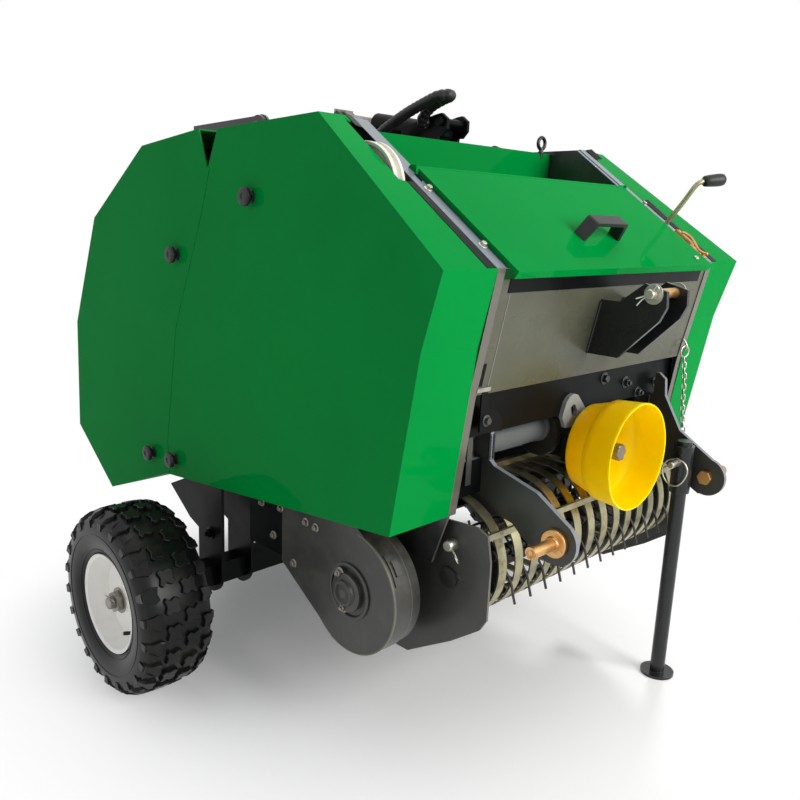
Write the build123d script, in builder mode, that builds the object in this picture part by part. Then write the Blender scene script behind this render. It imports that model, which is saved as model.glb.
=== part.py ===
from build123d import *
import os
from math import atan2, cos, degrees, hypot, pi, radians, sin

os.makedirs("parts", exist_ok=True)

# A small round baler for a three-point hitch. Millimetres, +Z up, floor at z = 0.
# The front, where the tractor stands, is at -Y. The machine's right side is at -X.
# The origin lies on the floor, below the middle of the overall box.

# Driving sizes of the chamber frame
frame_out = 386.5
frame_sheet = 5.0
flange_width = 20.0
shell_out = 518.0
shell_sheet = 3.0
panel_sheet = 3.0

# Side outline of the frame, as (y, z)
slope_top = (-217.0, 1204.0)
slope_foot = (-581.0, 953.0)
nose_foot = (-534.0, 725.0)
front_foot = (-505.0, 508.0)
floor_z = 408.0
split_line = [(250.0, 419.0), (255.0, 500.0), (207.0, 769.0), (96.0, 1018.0), (64.0, 1108.0)]
split_gap = 5.0

# Gate hinge, gate outline behind the split line, from its top to its foot
gate_hinge_y = 66.0
gate_hinge_z = 1195.0
gate_pin_radius = 12.0
gate_boss_radius = 26.0
gate_edge = [(95.0, 1181.0), (328.0, 1154.0), (576.0, 991.0), (702.0, 720.0), (716.0, 439.0), (536.0, 308.0)]
gate_arm_sheet = 10.0
gate_out = 387.0

# Beam between the side plates, and the panel above it
beam_foot = 652.0
beam_height = 80.0
panel_foot = beam_foot + beam_height + 1
panel_top = slope_foot[1] - 18

# Wheels and axle
axle_y = 132.0
tyre_radius = 203.0
tyre_width = 158.0
rim_radius = 104.0
rim_flange_radius = 109.0
stub_radius = 12.5
axle_bar = 50.0
axle_half = 560.0
wheel_gap = 25.0
wheel_x = axle_half + wheel_gap + tyre_width / 2
axle_z = tyre_radius
running_gap = 0.05

# Three-point hitch
hitch_x = 290.0
hitch_sheet = 10.0
lower_pin_y = -674.0
lower_pin_z = 489.0
lower_pin_radius = 11.0
lower_pin_end = 368.0
hitch_nose_radius = 42.0
link_half_gap = 36.0
link_sheet = 8.0
link_pin_y = -675.0
link_pin_z = 908.0
link_pin_radius = 9.5

# Input shaft, its cone and the gearbox
shaft_z = beam_foot - 68
shaft_radius = 17.5
shaft_root_y = -520.0
shaft_end_y = -620.0
shaft_journal = 15.0
shaft_free = 71.0
cone_front_y = -657.0
cone_step_y = -590.0
cone_back_y = -548.0
cone_radii = (109.0, 102.0, 86.0)
cone_sheet = 4.0
snout_radius = 34.0
gearbox_half = 60.0
gearbox_front_y = -515.0
gearbox_foot_z = shaft_z - 39
tube_y = -449.0
tube_z = beam_foot - 39
tube_radius = 30.0
tube_end = -52.0
gearbox_right = -8.0
clutch_drop = 14.0

# Pickup
band_y = -464.0
band_z = 408.0
band_radius = 120.0
band_sheet = 3.0
band_width = 23.0
band_tail_y = -385.0
reel_y = -498.0
reel_z = 382.0
reel_shaft_radius = 20.0
tine_bar_reach = 58.0
tine_reach = 108.0
tine_lean = 61.0
tine_knee_reach = 88.0
tine_knee_lean = 41.0
tine_row_turn = 140.0
tine_rows = 4
tine_pitch = 49.0
tine_count = 13
tine_radius = 3.0
pickup_x = 360.0
pickup_sheet = 5.0

# Stand
stand_x = 255.0
stand_y = -630.0
stand_radius = 16.5
stand_top = 558.0
sleeve_radius = 22.0
sleeve_length = 108.0


def save(piece, name):
    piece.part.label = name
    export_step(piece.part, f"parts/{name}.step")


def inset(outline, walls):
    """Moves each edge of an anticlockwise outline inwards by its own wall."""
    lines = []
    for index, (start_y, start_z) in enumerate(outline):
        end_y, end_z = outline[(index + 1) % len(outline)]
        run = hypot(end_y - start_y, end_z - start_z)
        step_y = (end_y - start_y) / run
        step_z = (end_z - start_z) / run
        wall = walls[index]
        lines.append((start_y - step_z * wall, start_z + step_y * wall, step_y, step_z))
    corners = []
    for index, (here_y, here_z, step_y, step_z) in enumerate(lines):
        last_y, last_z, last_step_y, last_step_z = lines[index - 1]
        cross = last_step_y * step_z - last_step_z * step_y
        along = ((here_y - last_y) * step_z - (here_z - last_z) * step_y) / cross
        corners.append((last_y + last_step_y * along, last_z + last_step_z * along))
    return corners


def outline_plate(x_start, thickness, outline, bores=()):
    """A flat sheet across X, with round holes given as (y, z, radius)."""
    with BuildSketch(Plane.YZ.offset(x_start), mode=Mode.PRIVATE) as face:
        with BuildLine():
            Polyline(*outline, close=True)
        make_face()
        for bore_y, bore_z, bore_radius in bores:
            with Locations((bore_y, bore_z)):
                Circle(bore_radius, mode=Mode.SUBTRACT)
    return extrude(face.sketch, amount=thickness, mode=Mode.PRIVATE)


def bar_x(x_start, x_end, y, z, radius):
    """A round bar along X."""
    with BuildSketch(Plane.YZ.offset(x_start), mode=Mode.PRIVATE) as face:
        with Locations((y, z)):
            Circle(radius)
    return extrude(face.sketch, amount=x_end - x_start, mode=Mode.PRIVATE)


def wire_between(start, end, radius):
    """An eight-sided wire from one point to another."""
    run = [end[i] - start[i] for i in range(3)]
    with BuildSketch(Plane(origin=start, z_dir=run), mode=Mode.PRIVATE) as face:
        RegularPolygon(radius, 8)
    return extrude(face.sketch, amount=hypot(*run), mode=Mode.PRIVATE)


def box_between(low, high):
    """A block between two corners."""
    size = [high[i] - low[i] for i in range(3)]
    middle = [(high[i] + low[i]) / 2 for i in range(3)]
    return Pos(*middle) * Box(*size, mode=Mode.PRIVATE)


def lofted_shell(side, outer, inner, walls):
    """A side shell: its flat face at shell_out and folded walls back to the frame."""
    solids = []
    for edge_walls, deep in ((None, 0.0), (walls, shell_sheet)):
        rings = []
        for outline, x in ((outer, shell_out - deep), (inner, frame_out + 0.5 - deep / 3)):
            points = inset(outline, edge_walls) if edge_walls else outline
            with BuildSketch(Plane.YZ.offset(side * x), mode=Mode.PRIVATE) as ring:
                with BuildLine():
                    Polyline(*points, close=True)
                make_face()
            rings.append(ring.sketch)
        solids.append(loft(rings, ruled=True, mode=Mode.PRIVATE))
    return solids[0] - solids[1]


# Frame sides: the plates that carry the rollers, with a folded flange along the slope and the nose
inside = frame_out - frame_sheet
rollers = [("feed_roller", -355.0, 575.0), ("floor_roller", -275.0, 456.0)]
roller_radius = 38.0
roller_stub = 12.0
frame_outline = [
    slope_top, slope_foot, nose_foot, front_foot, (-470.0, floor_z), split_line[0], split_line[1],
    split_line[2], split_line[3], split_line[4], (70.0, 1150.0), (62.0, 1195.0), (20.0, 1200.0),
]
flange_ring = [slope_top, slope_foot, nose_foot, front_foot,
               (-500.0, 508.0), (-529.0, 725.0), (-575.5, 949.5), (-213.0, 1199.0)]
roller_bores = [(y, z, roller_stub + running_gap) for _, y, z in rollers]
with BuildPart() as frame_sides:
    for side in (-1, 1):
        add(outline_plate(side * frame_out, -side * frame_sheet, frame_outline, roller_bores))
        add(outline_plate(side * frame_out, -side * flange_width, flange_ring))
        add(bar_x(side * inside, side * frame_out, gate_hinge_y, gate_hinge_z, gate_boss_radius))
        add(bar_x(side * (inside - 6), side * (frame_out + 14), gate_hinge_y, gate_hinge_z, gate_pin_radius))
save(frame_sides, "frame_sides")

# Front panel between the flanges, and the square beam below it
flange_inside = frame_out - flange_width
panel_back = 2.0
panel_lean = (slope_foot[0] - nose_foot[0]) / (slope_foot[1] - nose_foot[1])


def panel_y(z, behind=panel_back):
    """The y of the panel's outer face, or of a line behind it, at a height."""
    return nose_foot[0] + (z - nose_foot[1]) * panel_lean + behind


panel_outline = [(panel_y(panel_top), panel_top), (panel_y(panel_foot), panel_foot),
                 (panel_y(panel_foot) + panel_sheet, panel_foot), (panel_y(panel_top) + panel_sheet, panel_top)]
with BuildPart() as front_panel:
    add(outline_plate(-flange_inside, 2 * flange_inside, panel_outline))
save(front_panel, "front_panel")

beam_faces = (-517.0, -467.0)
with BuildPart() as front_beam:
    add(box_between((-inside, beam_faces[0], beam_foot), (inside, beam_faces[1], beam_foot + beam_height)))
save(front_beam, "front_beam")

# The slope that the lid lies on
slope_angle = degrees(atan2(slope_top[1] - slope_foot[1], slope_top[0] - slope_foot[0]))
slope_plane = Plane(origin=(0, slope_foot[0], slope_foot[1]), x_dir=(1, 0, 0),
                    z_dir=(0, -sin(radians(slope_angle)), cos(radians(slope_angle))))


def on_slope(along, above):
    """The (y, z) of a point along the slope from its foot and above it."""
    angle = radians(slope_angle)
    return (slope_foot[0] + along * cos(angle) - above * sin(angle),
            slope_foot[1] + along * sin(angle) + above * cos(angle))


def slope_box(low, high):
    """A block in the slope's own directions: across, along and above."""
    with BuildSketch(slope_plane.offset(low[2]), mode=Mode.PRIVATE) as face:
        with Locations(((low[0] + high[0]) / 2, (low[1] + high[1]) / 2)):
            Rectangle(high[0] - low[0], high[1] - low[1])
    return extrude(face.sketch, amount=high[2] - low[2], mode=Mode.PRIVATE)


# Twine box: rear wall, sloping floor and the bar with the pin that the lid hinges on
wall_y = -115.0
wall_top = 1195.0
lid_ends = (-358.0, 345.0)
lid_length = 286.0
lid_front = -18.5
lid_height = 9.0
hinge_along = 272.0
hinge_above = 3.0
hinge_y, hinge_z = on_slope(hinge_along, hinge_above)
hinge_pin_radius = 4.0
hinge_tube_radius = 7.0
with BuildPart() as twine_box:
    add(outline_plate(-inside, 2 * inside, [
        (wall_y, wall_top), (wall_y - panel_sheet, wall_top), (wall_y - panel_sheet, 1064.0),
        (panel_y(750.0, 6.0), 750.0), (panel_y(745.0, 6.0), 745.0), (wall_y, 1060.0)]))
    add(box_between((-inside, hinge_y + 12, hinge_z - 26), (inside, hinge_y + 36, hinge_z - 14)))
    for low_x, high_x in ((lid_ends[0] - 7, lid_ends[0] - 1), (lid_ends[1] + 1, lid_ends[1] + 7)):
        add(outline_plate(low_x, high_x - low_x, [
            (hinge_y - 8, hinge_z + 8), (hinge_y - 8, hinge_z - 8), (hinge_y + 14, hinge_z - 26),
            (hinge_y + 26, hinge_z - 16), (hinge_y + 8, hinge_z + 8)]))
    add(bar_x(lid_ends[0] - 7, lid_ends[1] + 7, hinge_y, hinge_z, hinge_pin_radius))
save(twine_box, "twine_box")

# Lid: a folded sheet with a hinge tube at its rear, and the handle on it
with BuildPart() as lid:
    rear = lid_front + lid_length
    add(slope_box((lid_ends[0], lid_front, lid_height - 3), (lid_ends[1], rear, lid_height)))
    add(slope_box((lid_ends[0], lid_front, lid_height - 15), (lid_ends[1], lid_front + 3, lid_height)))
    for low_x in (lid_ends[0], lid_ends[1] - 3):
        add(slope_box((low_x, lid_front, 0.5), (low_x + 3, rear - 8, lid_height)))
    add(bar_x(lid_ends[0], lid_ends[1], hinge_y, hinge_z, hinge_tube_radius))
    add(bar_x(lid_ends[0], lid_ends[1], hinge_y, hinge_z, hinge_pin_radius + running_gap), mode=Mode.SUBTRACT)
save(lid, "lid")

handle_span = (-75.0, 57.0)
handle_along = (63.0, 91.0)
handle_height = 41.0
handle_bar = 8.0
handle_middle = (handle_span[0] + handle_span[1]) / 2
# Half of the handle's outline and of the gap below it, as (share of its half span, height above the lid)
handle_outline = [(1.0, 0.0), (0.86, handle_height - 5), (0.8, handle_height)]
handle_gap = [(0.68, handle_height - handle_bar), (0.73, handle_height - handle_bar - 5), (0.86, 0.0)]
handle_half = (handle_span[1] - handle_span[0]) / 2
handle_face = Plane(origin=slope_plane.from_local_coords((handle_middle, handle_along[1], lid_height)),
                    x_dir=(1, 0, 0), z_dir=-slope_plane.y_dir)
with BuildPart() as lid_handle:
    with BuildSketch(handle_face):
        with BuildLine():
            Polyline(*[(handle_half * share, height) for share, height in handle_outline],
                     *[(-handle_half * share, height) for share, height in reversed(handle_outline)],
                     *[(-handle_half * share, height) for share, height in reversed(handle_gap)],
                     *[(handle_half * share, height) for share, height in handle_gap], close=True)
        make_face()
    extrude(amount=handle_along[1] - handle_along[0])
save(lid_handle, "lid_handle")

# Top deck behind the box, and the floor below the chamber
deck_z = 1174.0
deck_rear = 52.0
with BuildPart() as top_deck:
    add(box_between((-inside, wall_y, deck_z - 4), (inside, deck_rear, deck_z)))
save(top_deck, "top_deck")

with BuildPart() as floor_plate:
    add(box_between((-inside, -315.0, floor_z), (inside, 245.0, floor_z + 4)))
save(floor_plate, "floor_plate")

# Axle beam with its stubs, and the legs that hold it under the frame
stub_end = wheel_x + 50.0
hub_inner = wheel_x - 35.0
hub_outer = wheel_x + 38.0
with BuildPart() as axle_beam:
    add(box_between((-axle_half, axle_y - axle_bar / 2, axle_z - axle_bar / 2),
                    (axle_half, axle_y + axle_bar / 2, axle_z + axle_bar / 2)))
    for side in (-1, 1):
        add(bar_x(side * axle_half, side * stub_end, axle_y, axle_z, stub_radius))
        add(bar_x(side * axle_half, side * (hub_inner - 0.3), axle_y, axle_z, 22.0))
        add(bar_x(side * (hub_outer + 0.3), side * (hub_outer + 9), axle_y, axle_z, 19.0))
save(axle_beam, "axle_beam")

leg_outline = [(84.0, 470.0), (84.0, axle_z), (180.0, axle_z), (180.0, 298.0), (218.0, 312.0),
               (305.0, 372.0), (240.0, 402.0), (240.0, 470.0)]
leg_faces = (480.0, 400.0)
leg_sheet = 8.0
leg_lobe = 46.0
with BuildPart() as axle_legs:
    for side in (-1, 1):
        for face_x in leg_faces:
            plate = outline_plate(side * face_x, -side * leg_sheet, leg_outline)
            plate = plate + bar_x(side * face_x, side * (face_x - leg_sheet), axle_y, axle_z, leg_lobe)
            add(plate - box_between((-600, axle_y - axle_bar / 2, axle_z - axle_bar / 2),
                                    (600, axle_y + axle_bar / 2, axle_z + axle_bar / 2)))
        add(box_between((min(side * frame_out, side * leg_faces[0]), 84.0, 430.0),
                        (max(side * frame_out, side * leg_faces[0]), 240.0, 470.0)))
save(axle_legs, "axle_legs")


# Wheels: tyre and dished rim turn about the stub
def wheel_plane(side):
    return Plane(origin=(0, axle_y, axle_z), x_dir=(side, 0, 0), z_dir=(0, -side, 0))


wheel_axis = Axis((0, axle_y, axle_z), (1, 0, 0))
half_tyre = tyre_width / 2
lug_rows = 22
tyre_facets = 66
crown_radius = tyre_radius - 11
facet_reach = 1 / cos(pi / tyre_facets)
# Tyre profile as (x from its middle, radius). The bore's facets lie on the rim
tyre_profile = [
    (-half_tyre, 142.0), (-half_tyre, 160.0), (-73.0, 182.0), (-63.0, crown_radius), (63.0, crown_radius),
    (73.0, 182.0), (half_tyre, 160.0), (half_tyre, 142.0), (60.0, rim_radius * facet_reach),
    (-60.0, rim_radius * facet_reach)]
lug_share = 0.64
lug_slope = 0.06
lug_crest = 1 / cos(pi * (lug_share - 2 * lug_slope) / lug_rows)
groove_depth = 9.0
# Tread zones across the tyre as (low x, high x, turned by rows)
tread_zones = [(-60.0, -4.0, 0.0), (4.0, 60.0, 0.5)]


def tread_zone(low_x, high_x, turned):
    """A toothed band across part of the tyre, with a lug's flat at the tyre's foot."""
    foot = tyre_radius - groove_depth
    crest = tyre_radius * lug_crest
    points = []
    for row in range(lug_rows):
        for share, reach in ((0.0, foot), (lug_slope, crest), (lug_share - lug_slope, crest), (lug_share, foot)):
            turn = 2 * pi * (row + turned + share - lug_share / 2) / lug_rows - pi / 2
            points.append((axle_y + reach * cos(turn), axle_z + reach * sin(turn)))
    return outline_plate(low_x, high_x - low_x, points, [(axle_y, axle_z, tyre_radius - 45)])


def faceted_turning(middle_x, profile):
    """A closed profile of (x, radius) rows turned round the axle in flat facets."""
    rings = []
    for x, radius in profile:
        rings.append([(middle_x + x, axle_y + radius * cos(2 * pi * step / tyre_facets),
                       axle_z + radius * sin(2 * pi * step / tyre_facets)) for step in range(tyre_facets)])
    faces = []
    for here, after in zip(rings, rings[1:] + rings[:1]):
        for step in range(tyre_facets):
            following = (step + 1) % tyre_facets
            corners = [here[step], here[following], after[following], after[step]]
            faces.append(Face(Wire.make_polygon(corners, close=True)))
    return Solid(Shell(faces))


for side, word in ((-1, "right"), (1, "left")):
    with BuildPart() as tyre:
        add(faceted_turning(side * wheel_x, tyre_profile))
        for low_x, high_x, turned in tread_zones:
            add(tread_zone(side * wheel_x + low_x, side * wheel_x + high_x, turned))
    save(tyre, f"tyre_{word}")
    with BuildPart() as rim:
        with BuildSketch(wheel_plane(side)):
            with BuildLine():
                Polyline(
                    (wheel_x - 60, rim_radius), (wheel_x - 63.5, rim_flange_radius), (wheel_x - 67, rim_flange_radius),
                    (wheel_x - 62, 96), (wheel_x + 5, 88), (wheel_x + 10, 40), (hub_inner, 36),
                    (hub_inner, stub_radius + running_gap), (hub_outer, stub_radius + running_gap),
                    (hub_outer, 30), (wheel_x + 16, 32), (wheel_x + 14, 92), (wheel_x + 62, 96),
                    (wheel_x + 67, rim_flange_radius), (wheel_x + 63.5, rim_flange_radius),
                    (wheel_x + 60, rim_radius), close=True)
            make_face()
        revolve(axis=wheel_axis)
    save(rim, f"rim_{word}")

# Hitch plates: the right and the left one differ above the nose
hitch_back = -480.0
hitch_foot = [(-690, 455), (-660, 447), (-600, 478), (-580, 495), (-540, 503), (hitch_back, 505)]
hitch_right = [(hitch_back, beam_foot - 12), (-508, beam_foot - 44), (-529, beam_foot - 61),
               (-627, beam_foot - 86), (-702, 521)] + hitch_foot
hitch_left = [(hitch_back, beam_foot), (-556, beam_foot), (-563, beam_foot - 11), (-600, beam_foot - 72),
              (-700, 520)] + hitch_foot
hitch_tab_left = [(-527, beam_foot), (-556, beam_foot), (-552, beam_foot + 38), (-536, beam_foot + 50),
                  (-527, beam_foot + 50)]
with BuildPart() as hitch_plates:
    for side, outline in ((-1, hitch_right), (1, hitch_left)):
        low_x = side * (hitch_x - hitch_sheet / 2)
        plate = outline_plate(low_x, side * hitch_sheet, outline)
        add(plate + bar_x(low_x, low_x + side * hitch_sheet, lower_pin_y, lower_pin_z, hitch_nose_radius))
        add(box_between((min(low_x, side * inside), -500.0, 535.0), (max(low_x, side * inside), -490.0, 600.0)))
        add(box_between((min(low_x, low_x + side * hitch_sheet), beam_faces[0], 560.0),
                        (max(low_x, low_x + side * hitch_sheet), hitch_back, beam_foot)))
    add(outline_plate(hitch_x - hitch_sheet / 2, hitch_sheet, hitch_tab_left))
save(hitch_plates, "hitch_plates")

with BuildPart() as hitch_pins:
    for side in (-1, 1):
        start = side * (hitch_x + hitch_sheet / 2)
        add(bar_x(start, side * lower_pin_end, lower_pin_y, lower_pin_z, lower_pin_radius))
        add(bar_x(start, start + side * 8, lower_pin_y, lower_pin_z, 24.0))
save(hitch_pins, "hitch_pins")

# Top link bracket on the panel
link_outline = [(panel_y(888.0), 888.0), (-606.0, 888.0), (-655.0, 926.0), (-700.0, 915.0), (-702.0, 885.0),
                (-690.0, 859.0), (-612.0, 780.0), (panel_y(780.0), 780.0)]
with BuildPart() as top_link_bracket:
    for side in (-1, 1):
        add(outline_plate(side * link_half_gap, side * link_sheet, link_outline,
                          [(link_pin_y, link_pin_z, link_pin_radius)]))
save(top_link_bracket, "top_link_bracket")

with BuildPart() as top_link_pin:
    add(bar_x(-62.0, 62.0, link_pin_y, link_pin_z, link_pin_radius))
save(top_link_pin, "top_link_pin")

# Stand: a sleeve on the left hitch plate and the leg that slides in it
sleeve_foot = stand_top - sleeve_length
hitch_inner = hitch_x - hitch_sheet / 2
with BuildPart() as stand_sleeve:
    with BuildSketch(Plane.XY.offset(sleeve_foot)):
        with Locations((stand_x, stand_y)):
            Circle(sleeve_radius)
    extrude(amount=sleeve_length)
    add(box_between((stand_x, stand_y - 8, 490.0), (hitch_inner, stand_y + 8, 540.0)))
    with BuildSketch(Plane.XY.offset(sleeve_foot)):
        with Locations((stand_x, stand_y)):
            Circle(stand_radius + running_gap)
    extrude(amount=sleeve_length, mode=Mode.SUBTRACT)
save(stand_sleeve, "stand_sleeve")

with BuildPart() as stand_leg:
    with BuildSketch(Plane.XY):
        with Locations((stand_x, stand_y)):
            Circle(38.0)
    extrude(amount=6)
    with BuildSketch(Plane.XY.offset(6)):
        with Locations((stand_x, stand_y)):
            Circle(stand_radius)
    extrude(amount=stand_top + 10 - 6)
save(stand_leg, "stand_leg")

# Gearbox, side drive tube, cone and input shaft
shaft_plane = Plane(origin=(0, 0, shaft_z), x_dir=(1, 0, 0), z_dir=(0, -1, 0))
with BuildPart() as gearbox:
    add(box_between((gearbox_right, gearbox_front_y, gearbox_foot_z), (gearbox_half, -410.0, beam_foot)))
    add(box_between((-34.0, gearbox_front_y, gearbox_foot_z), (0.0, gearbox_front_y + 14, shaft_z + 34)))
    add(bar_x(gearbox_right - 16, gearbox_right, tube_y, tube_z, 36.0))
    add(bar_x(-48.0, gearbox_right, tube_y, tube_z, 24.0))
    with BuildSketch(shaft_plane.offset(-gearbox_front_y)):
        Circle(snout_radius)
    extrude(amount=gearbox_front_y - cone_back_y)
    with BuildSketch(shaft_plane.offset(-shaft_root_y - 0.5)):
        Circle(shaft_journal + running_gap)
    extrude(amount=80, mode=Mode.SUBTRACT)
save(gearbox, "gearbox")

with BuildPart() as drive_tube:
    add(bar_x(-inside, tube_end, tube_y, tube_z, tube_radius))
save(drive_tube, "drive_tube")

# Clutch housing at the tube's end, the casting's ear and the plate that carries the gearbox
with BuildPart() as clutch_housing:
    add(bar_x(tube_end, tube_end + 14, tube_y, tube_z - clutch_drop, 50.0))
    add(bar_x(-48.0, tube_end + 14, tube_y, tube_z, 24.0), mode=Mode.SUBTRACT)
save(clutch_housing, "clutch_housing")

ear_face_y = beam_faces[0]
# Ear of the casting as (x, height from the beam's foot)
ear_outline = [(-70, 27), (-58, 38), (-45, 42), (-30, 38), (-14, 22), (4, 4), (24, -4), (24, -30), (-14, -18),
               (-40, -28), (-66, -26), (-80, -2)]
ear_slot = [(-53, 14), (-44, 20), (-36, 18), (-28, 4), (-32, -5), (-46, -5)]
with BuildPart() as casting_ear:
    with BuildSketch(Plane(origin=(0, ear_face_y, beam_foot), x_dir=(1, 0, 0), z_dir=(0, -1, 0))):
        with BuildLine():
            Polyline(*ear_outline, close=True)
        make_face()
        with BuildLine():
            Polyline(*ear_slot, close=True)
        make_face(mode=Mode.SUBTRACT)
    extrude(amount=9)
save(casting_ear, "casting_ear")

carrier_front = cone_back_y + 8
with BuildPart() as gearbox_carrier:
    add(box_between((30.0, carrier_front, beam_foot - 4), (150.0, gearbox_front_y, beam_foot)))
    add(box_between((gearbox_half, carrier_front, beam_foot - 4), (150.0, beam_faces[1], beam_foot)))
    add(box_between((30.0, carrier_front, beam_foot - 12), (150.0, carrier_front + 4, beam_foot)))
save(gearbox_carrier, "gearbox_carrier")

with BuildPart() as pto_shield:
    with BuildSketch(Plane.YZ):
        with BuildLine():
            Polyline(
                (cone_back_y + cone_sheet, shaft_z + snout_radius),
                (cone_back_y + cone_sheet, shaft_z + cone_radii[2]),
                (cone_step_y, shaft_z + cone_radii[1]), (cone_front_y, shaft_z + cone_radii[0]),
                (cone_front_y, shaft_z + cone_radii[0] - cone_sheet),
                (cone_step_y, shaft_z + cone_radii[1] - cone_sheet),
                (cone_back_y, shaft_z + cone_radii[2] - cone_sheet), (cone_back_y, shaft_z + snout_radius),
                close=True)
        make_face()
    revolve(axis=Axis((0, 0, shaft_z), (0, 1, 0)))
save(pto_shield, "pto_shield")

with BuildPart() as pto_shaft:
    with BuildSketch(shaft_plane.offset(-shaft_root_y)):
        Circle(shaft_journal)
    extrude(amount=shaft_root_y - shaft_end_y - shaft_free)
    with BuildSketch(shaft_plane.offset(-shaft_end_y - shaft_free)):
        Circle(shaft_radius)
    extrude(amount=shaft_free)
save(pto_shaft, "pto_shaft")

# Side drive case below the right shell
case_y = -351.0
case_z = 335.0
case_radius = 120.0
case_rise = radians(32.0)
case_rear = -141.0
case_top = 470.0
case_faces = (480.0, 412.0)
low_tangent = (case_y + case_radius * sin(case_rise), case_z - case_radius * cos(case_rise))
high_tangent = (case_y - case_radius * sin(case_rise), case_z + case_radius * cos(case_rise))
rise = sin(case_rise) / cos(case_rise)
case_outline = [
    low_tangent, (case_rear, low_tangent[1] + (case_rear - low_tangent[0]) * rise),
    (case_rear, case_top), (high_tangent[0] + (case_top - high_tangent[1]) / rise, case_top), high_tangent,
]
with BuildPart() as drive_case:
    add(outline_plate(-case_faces[0], case_faces[0] - case_faces[1], case_outline))
    add(bar_x(-case_faces[0], -case_faces[1], case_y, case_z, case_radius))
    add(bar_x(-case_faces[0] - 8, -case_faces[0], case_y, case_z, 38.0))
    add(bar_x(-case_faces[0] - 18, -case_faces[0], case_y, case_z, 24.0))
    add(bar_x(-case_faces[0], -case_faces[0] + 44, case_y, case_z, case_radius + 2.5))
    add(bar_x(-case_faces[1], -frame_out, -200.0, 440.0, 25.0))
save(drive_case, "drive_case")

# Pickup: end plates, stripper bands with their bars, and the tined reel
pickup_outline = [(-556, 497), (-580, 488), (-590, 440), (-590, 330), (-575, 305), (-510, 257), (-400, 190),
                  (-335, 190), (-320, 300), (-320, 480)]
pickup_slot = [(-533, 390), (-536, 382), (-494, 395), (-491, 403)]
with BuildPart() as pickup_sides:
    for side in (-1, 1):
        low_x = side * pickup_x
        add(outline_plate(low_x, side * pickup_sheet, pickup_outline,
                          [(reel_y, reel_z, reel_shaft_radius + running_gap)]))
        add(bar_x(low_x + side * pickup_sheet, side * inside, -380.0, 440.0, 22.0))
    add(outline_plate(-pickup_x - pickup_sheet - 1, pickup_sheet + 2, pickup_slot), mode=Mode.SUBTRACT)
save(pickup_sides, "pickup_sides")

band_bars = [((-576.0, 474.0), (-570.0, 486.0)), ((-417.0, 528.0), (-405.0, 540.0)),
             ((-392.0, 276.0), (-380.0, 288.0))]
with BuildPart() as pickup_bands:
    for index in range(tine_count + 1):
        low_x = (index - tine_count / 2) * tine_pitch - band_width / 2
        with BuildSketch(Plane.YZ.offset(low_x)) as ring:
            with Locations((band_y, band_z)):
                Circle(band_radius)
            with Locations((band_y + 32.5, band_z + band_radius / 2), (band_y + 42.0, band_z - band_radius / 2)):
                Rectangle(2 * 42.0, band_radius)
            with Locations((band_y, band_z)):
                Circle(band_radius - band_sheet, mode=Mode.SUBTRACT)
            with Locations((band_y + 75.0, band_z)):
                Rectangle(150.0, 2 * (band_radius - band_sheet), mode=Mode.SUBTRACT)
        extrude(amount=band_width)
    for low, high in band_bars:
        add(box_between((-pickup_x, low[0], low[1]), (pickup_x, high[0], high[1])))
save(pickup_bands, "pickup_bands")


def reel_point(turn, reach):
    """The (y, z) of a point on the reel at a turn from +Y towards +Z."""
    return reel_y + reach * cos(radians(turn)), reel_z + reach * sin(radians(turn))


tine_half = (tine_count - 1) / 2 * tine_pitch
with BuildPart() as pickup_reel:
    add(bar_x(-pickup_x - pickup_sheet - 5, pickup_x + pickup_sheet + 5, reel_y, reel_z, reel_shaft_radius))
    for row in range(tine_rows):
        turn = tine_row_turn + 360 / tine_rows * row
        root_y, root_z = reel_point(turn, tine_bar_reach)
        knee = reel_point(turn + tine_knee_lean, tine_knee_reach)
        tip = reel_point(turn + tine_lean, tine_reach)
        add(bar_x(-tine_half - 8, tine_half + 8, root_y, root_z, 6.0))
        for index in range(tine_count):
            tine_x = index * tine_pitch - tine_half
            add(wire_between((tine_x, root_y, root_z), (tine_x, *knee), tine_radius))
            add(wire_between((tine_x, *knee), (tine_x, *tip), tine_radius))
    for disc_x in (-tine_half + 12, 20.5, tine_half - 20):
        add(bar_x(disc_x, disc_x + 8, reel_y, reel_z, tine_bar_reach + 1))
save(pickup_reel, "pickup_reel")

# Feed and floor rollers
for name, roller_y, roller_z in rollers:
    with BuildPart() as roller:
        add(bar_x(-inside + 6, inside - 6, roller_y, roller_z, roller_radius))
        add(bar_x(-frame_out - 6, frame_out + 6, roller_y, roller_z, roller_stub))
    save(roller, name)

# Side shells of the front half, the right one with a notch for the rope wheel
shell_foot = (-489.0, 498.0)
top_rear = (27.0, 1179.0)
front_edge = [(y - split_gap / 2, z) for y, z in split_line]
notch = ((-432.0, -392.0, 1060.0), (-380.0, -243.0, 1200.0))
for side, word, top_corner in ((-1, "right", (-280.0, 1195.0)), (1, "left", (-190.0, 1203.0))):
    outer = [top_corner, (-581.0, 954.0), (-542.0, 820.0), shell_foot] + front_edge + [top_rear]
    inner = [slope_top, slope_foot, (-550.0, 820.0), front_foot] + front_edge + [top_rear]
    walls = [shell_sheet] * 3 + [-30.0] + [-0.1] * 5 + [shell_sheet]
    with BuildPart() as shell:
        add(lofted_shell(side, outer, inner, walls))
        if side < 0:
            add(box_between(*notch), mode=Mode.SUBTRACT)
    save(shell, f"side_shell_{word}")

knob_radius = 18.0
knob_length = 20.0
with BuildPart() as shell_knobs:
    for side in (-1, 1):
        for knob_y, knob_z in ((-85.0, 1052.0), (214.0, 463.0)):
            add(bar_x(side * shell_out, side * (shell_out + knob_length), knob_y, knob_z, knob_radius))
save(shell_knobs, "shell_knobs")

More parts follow.
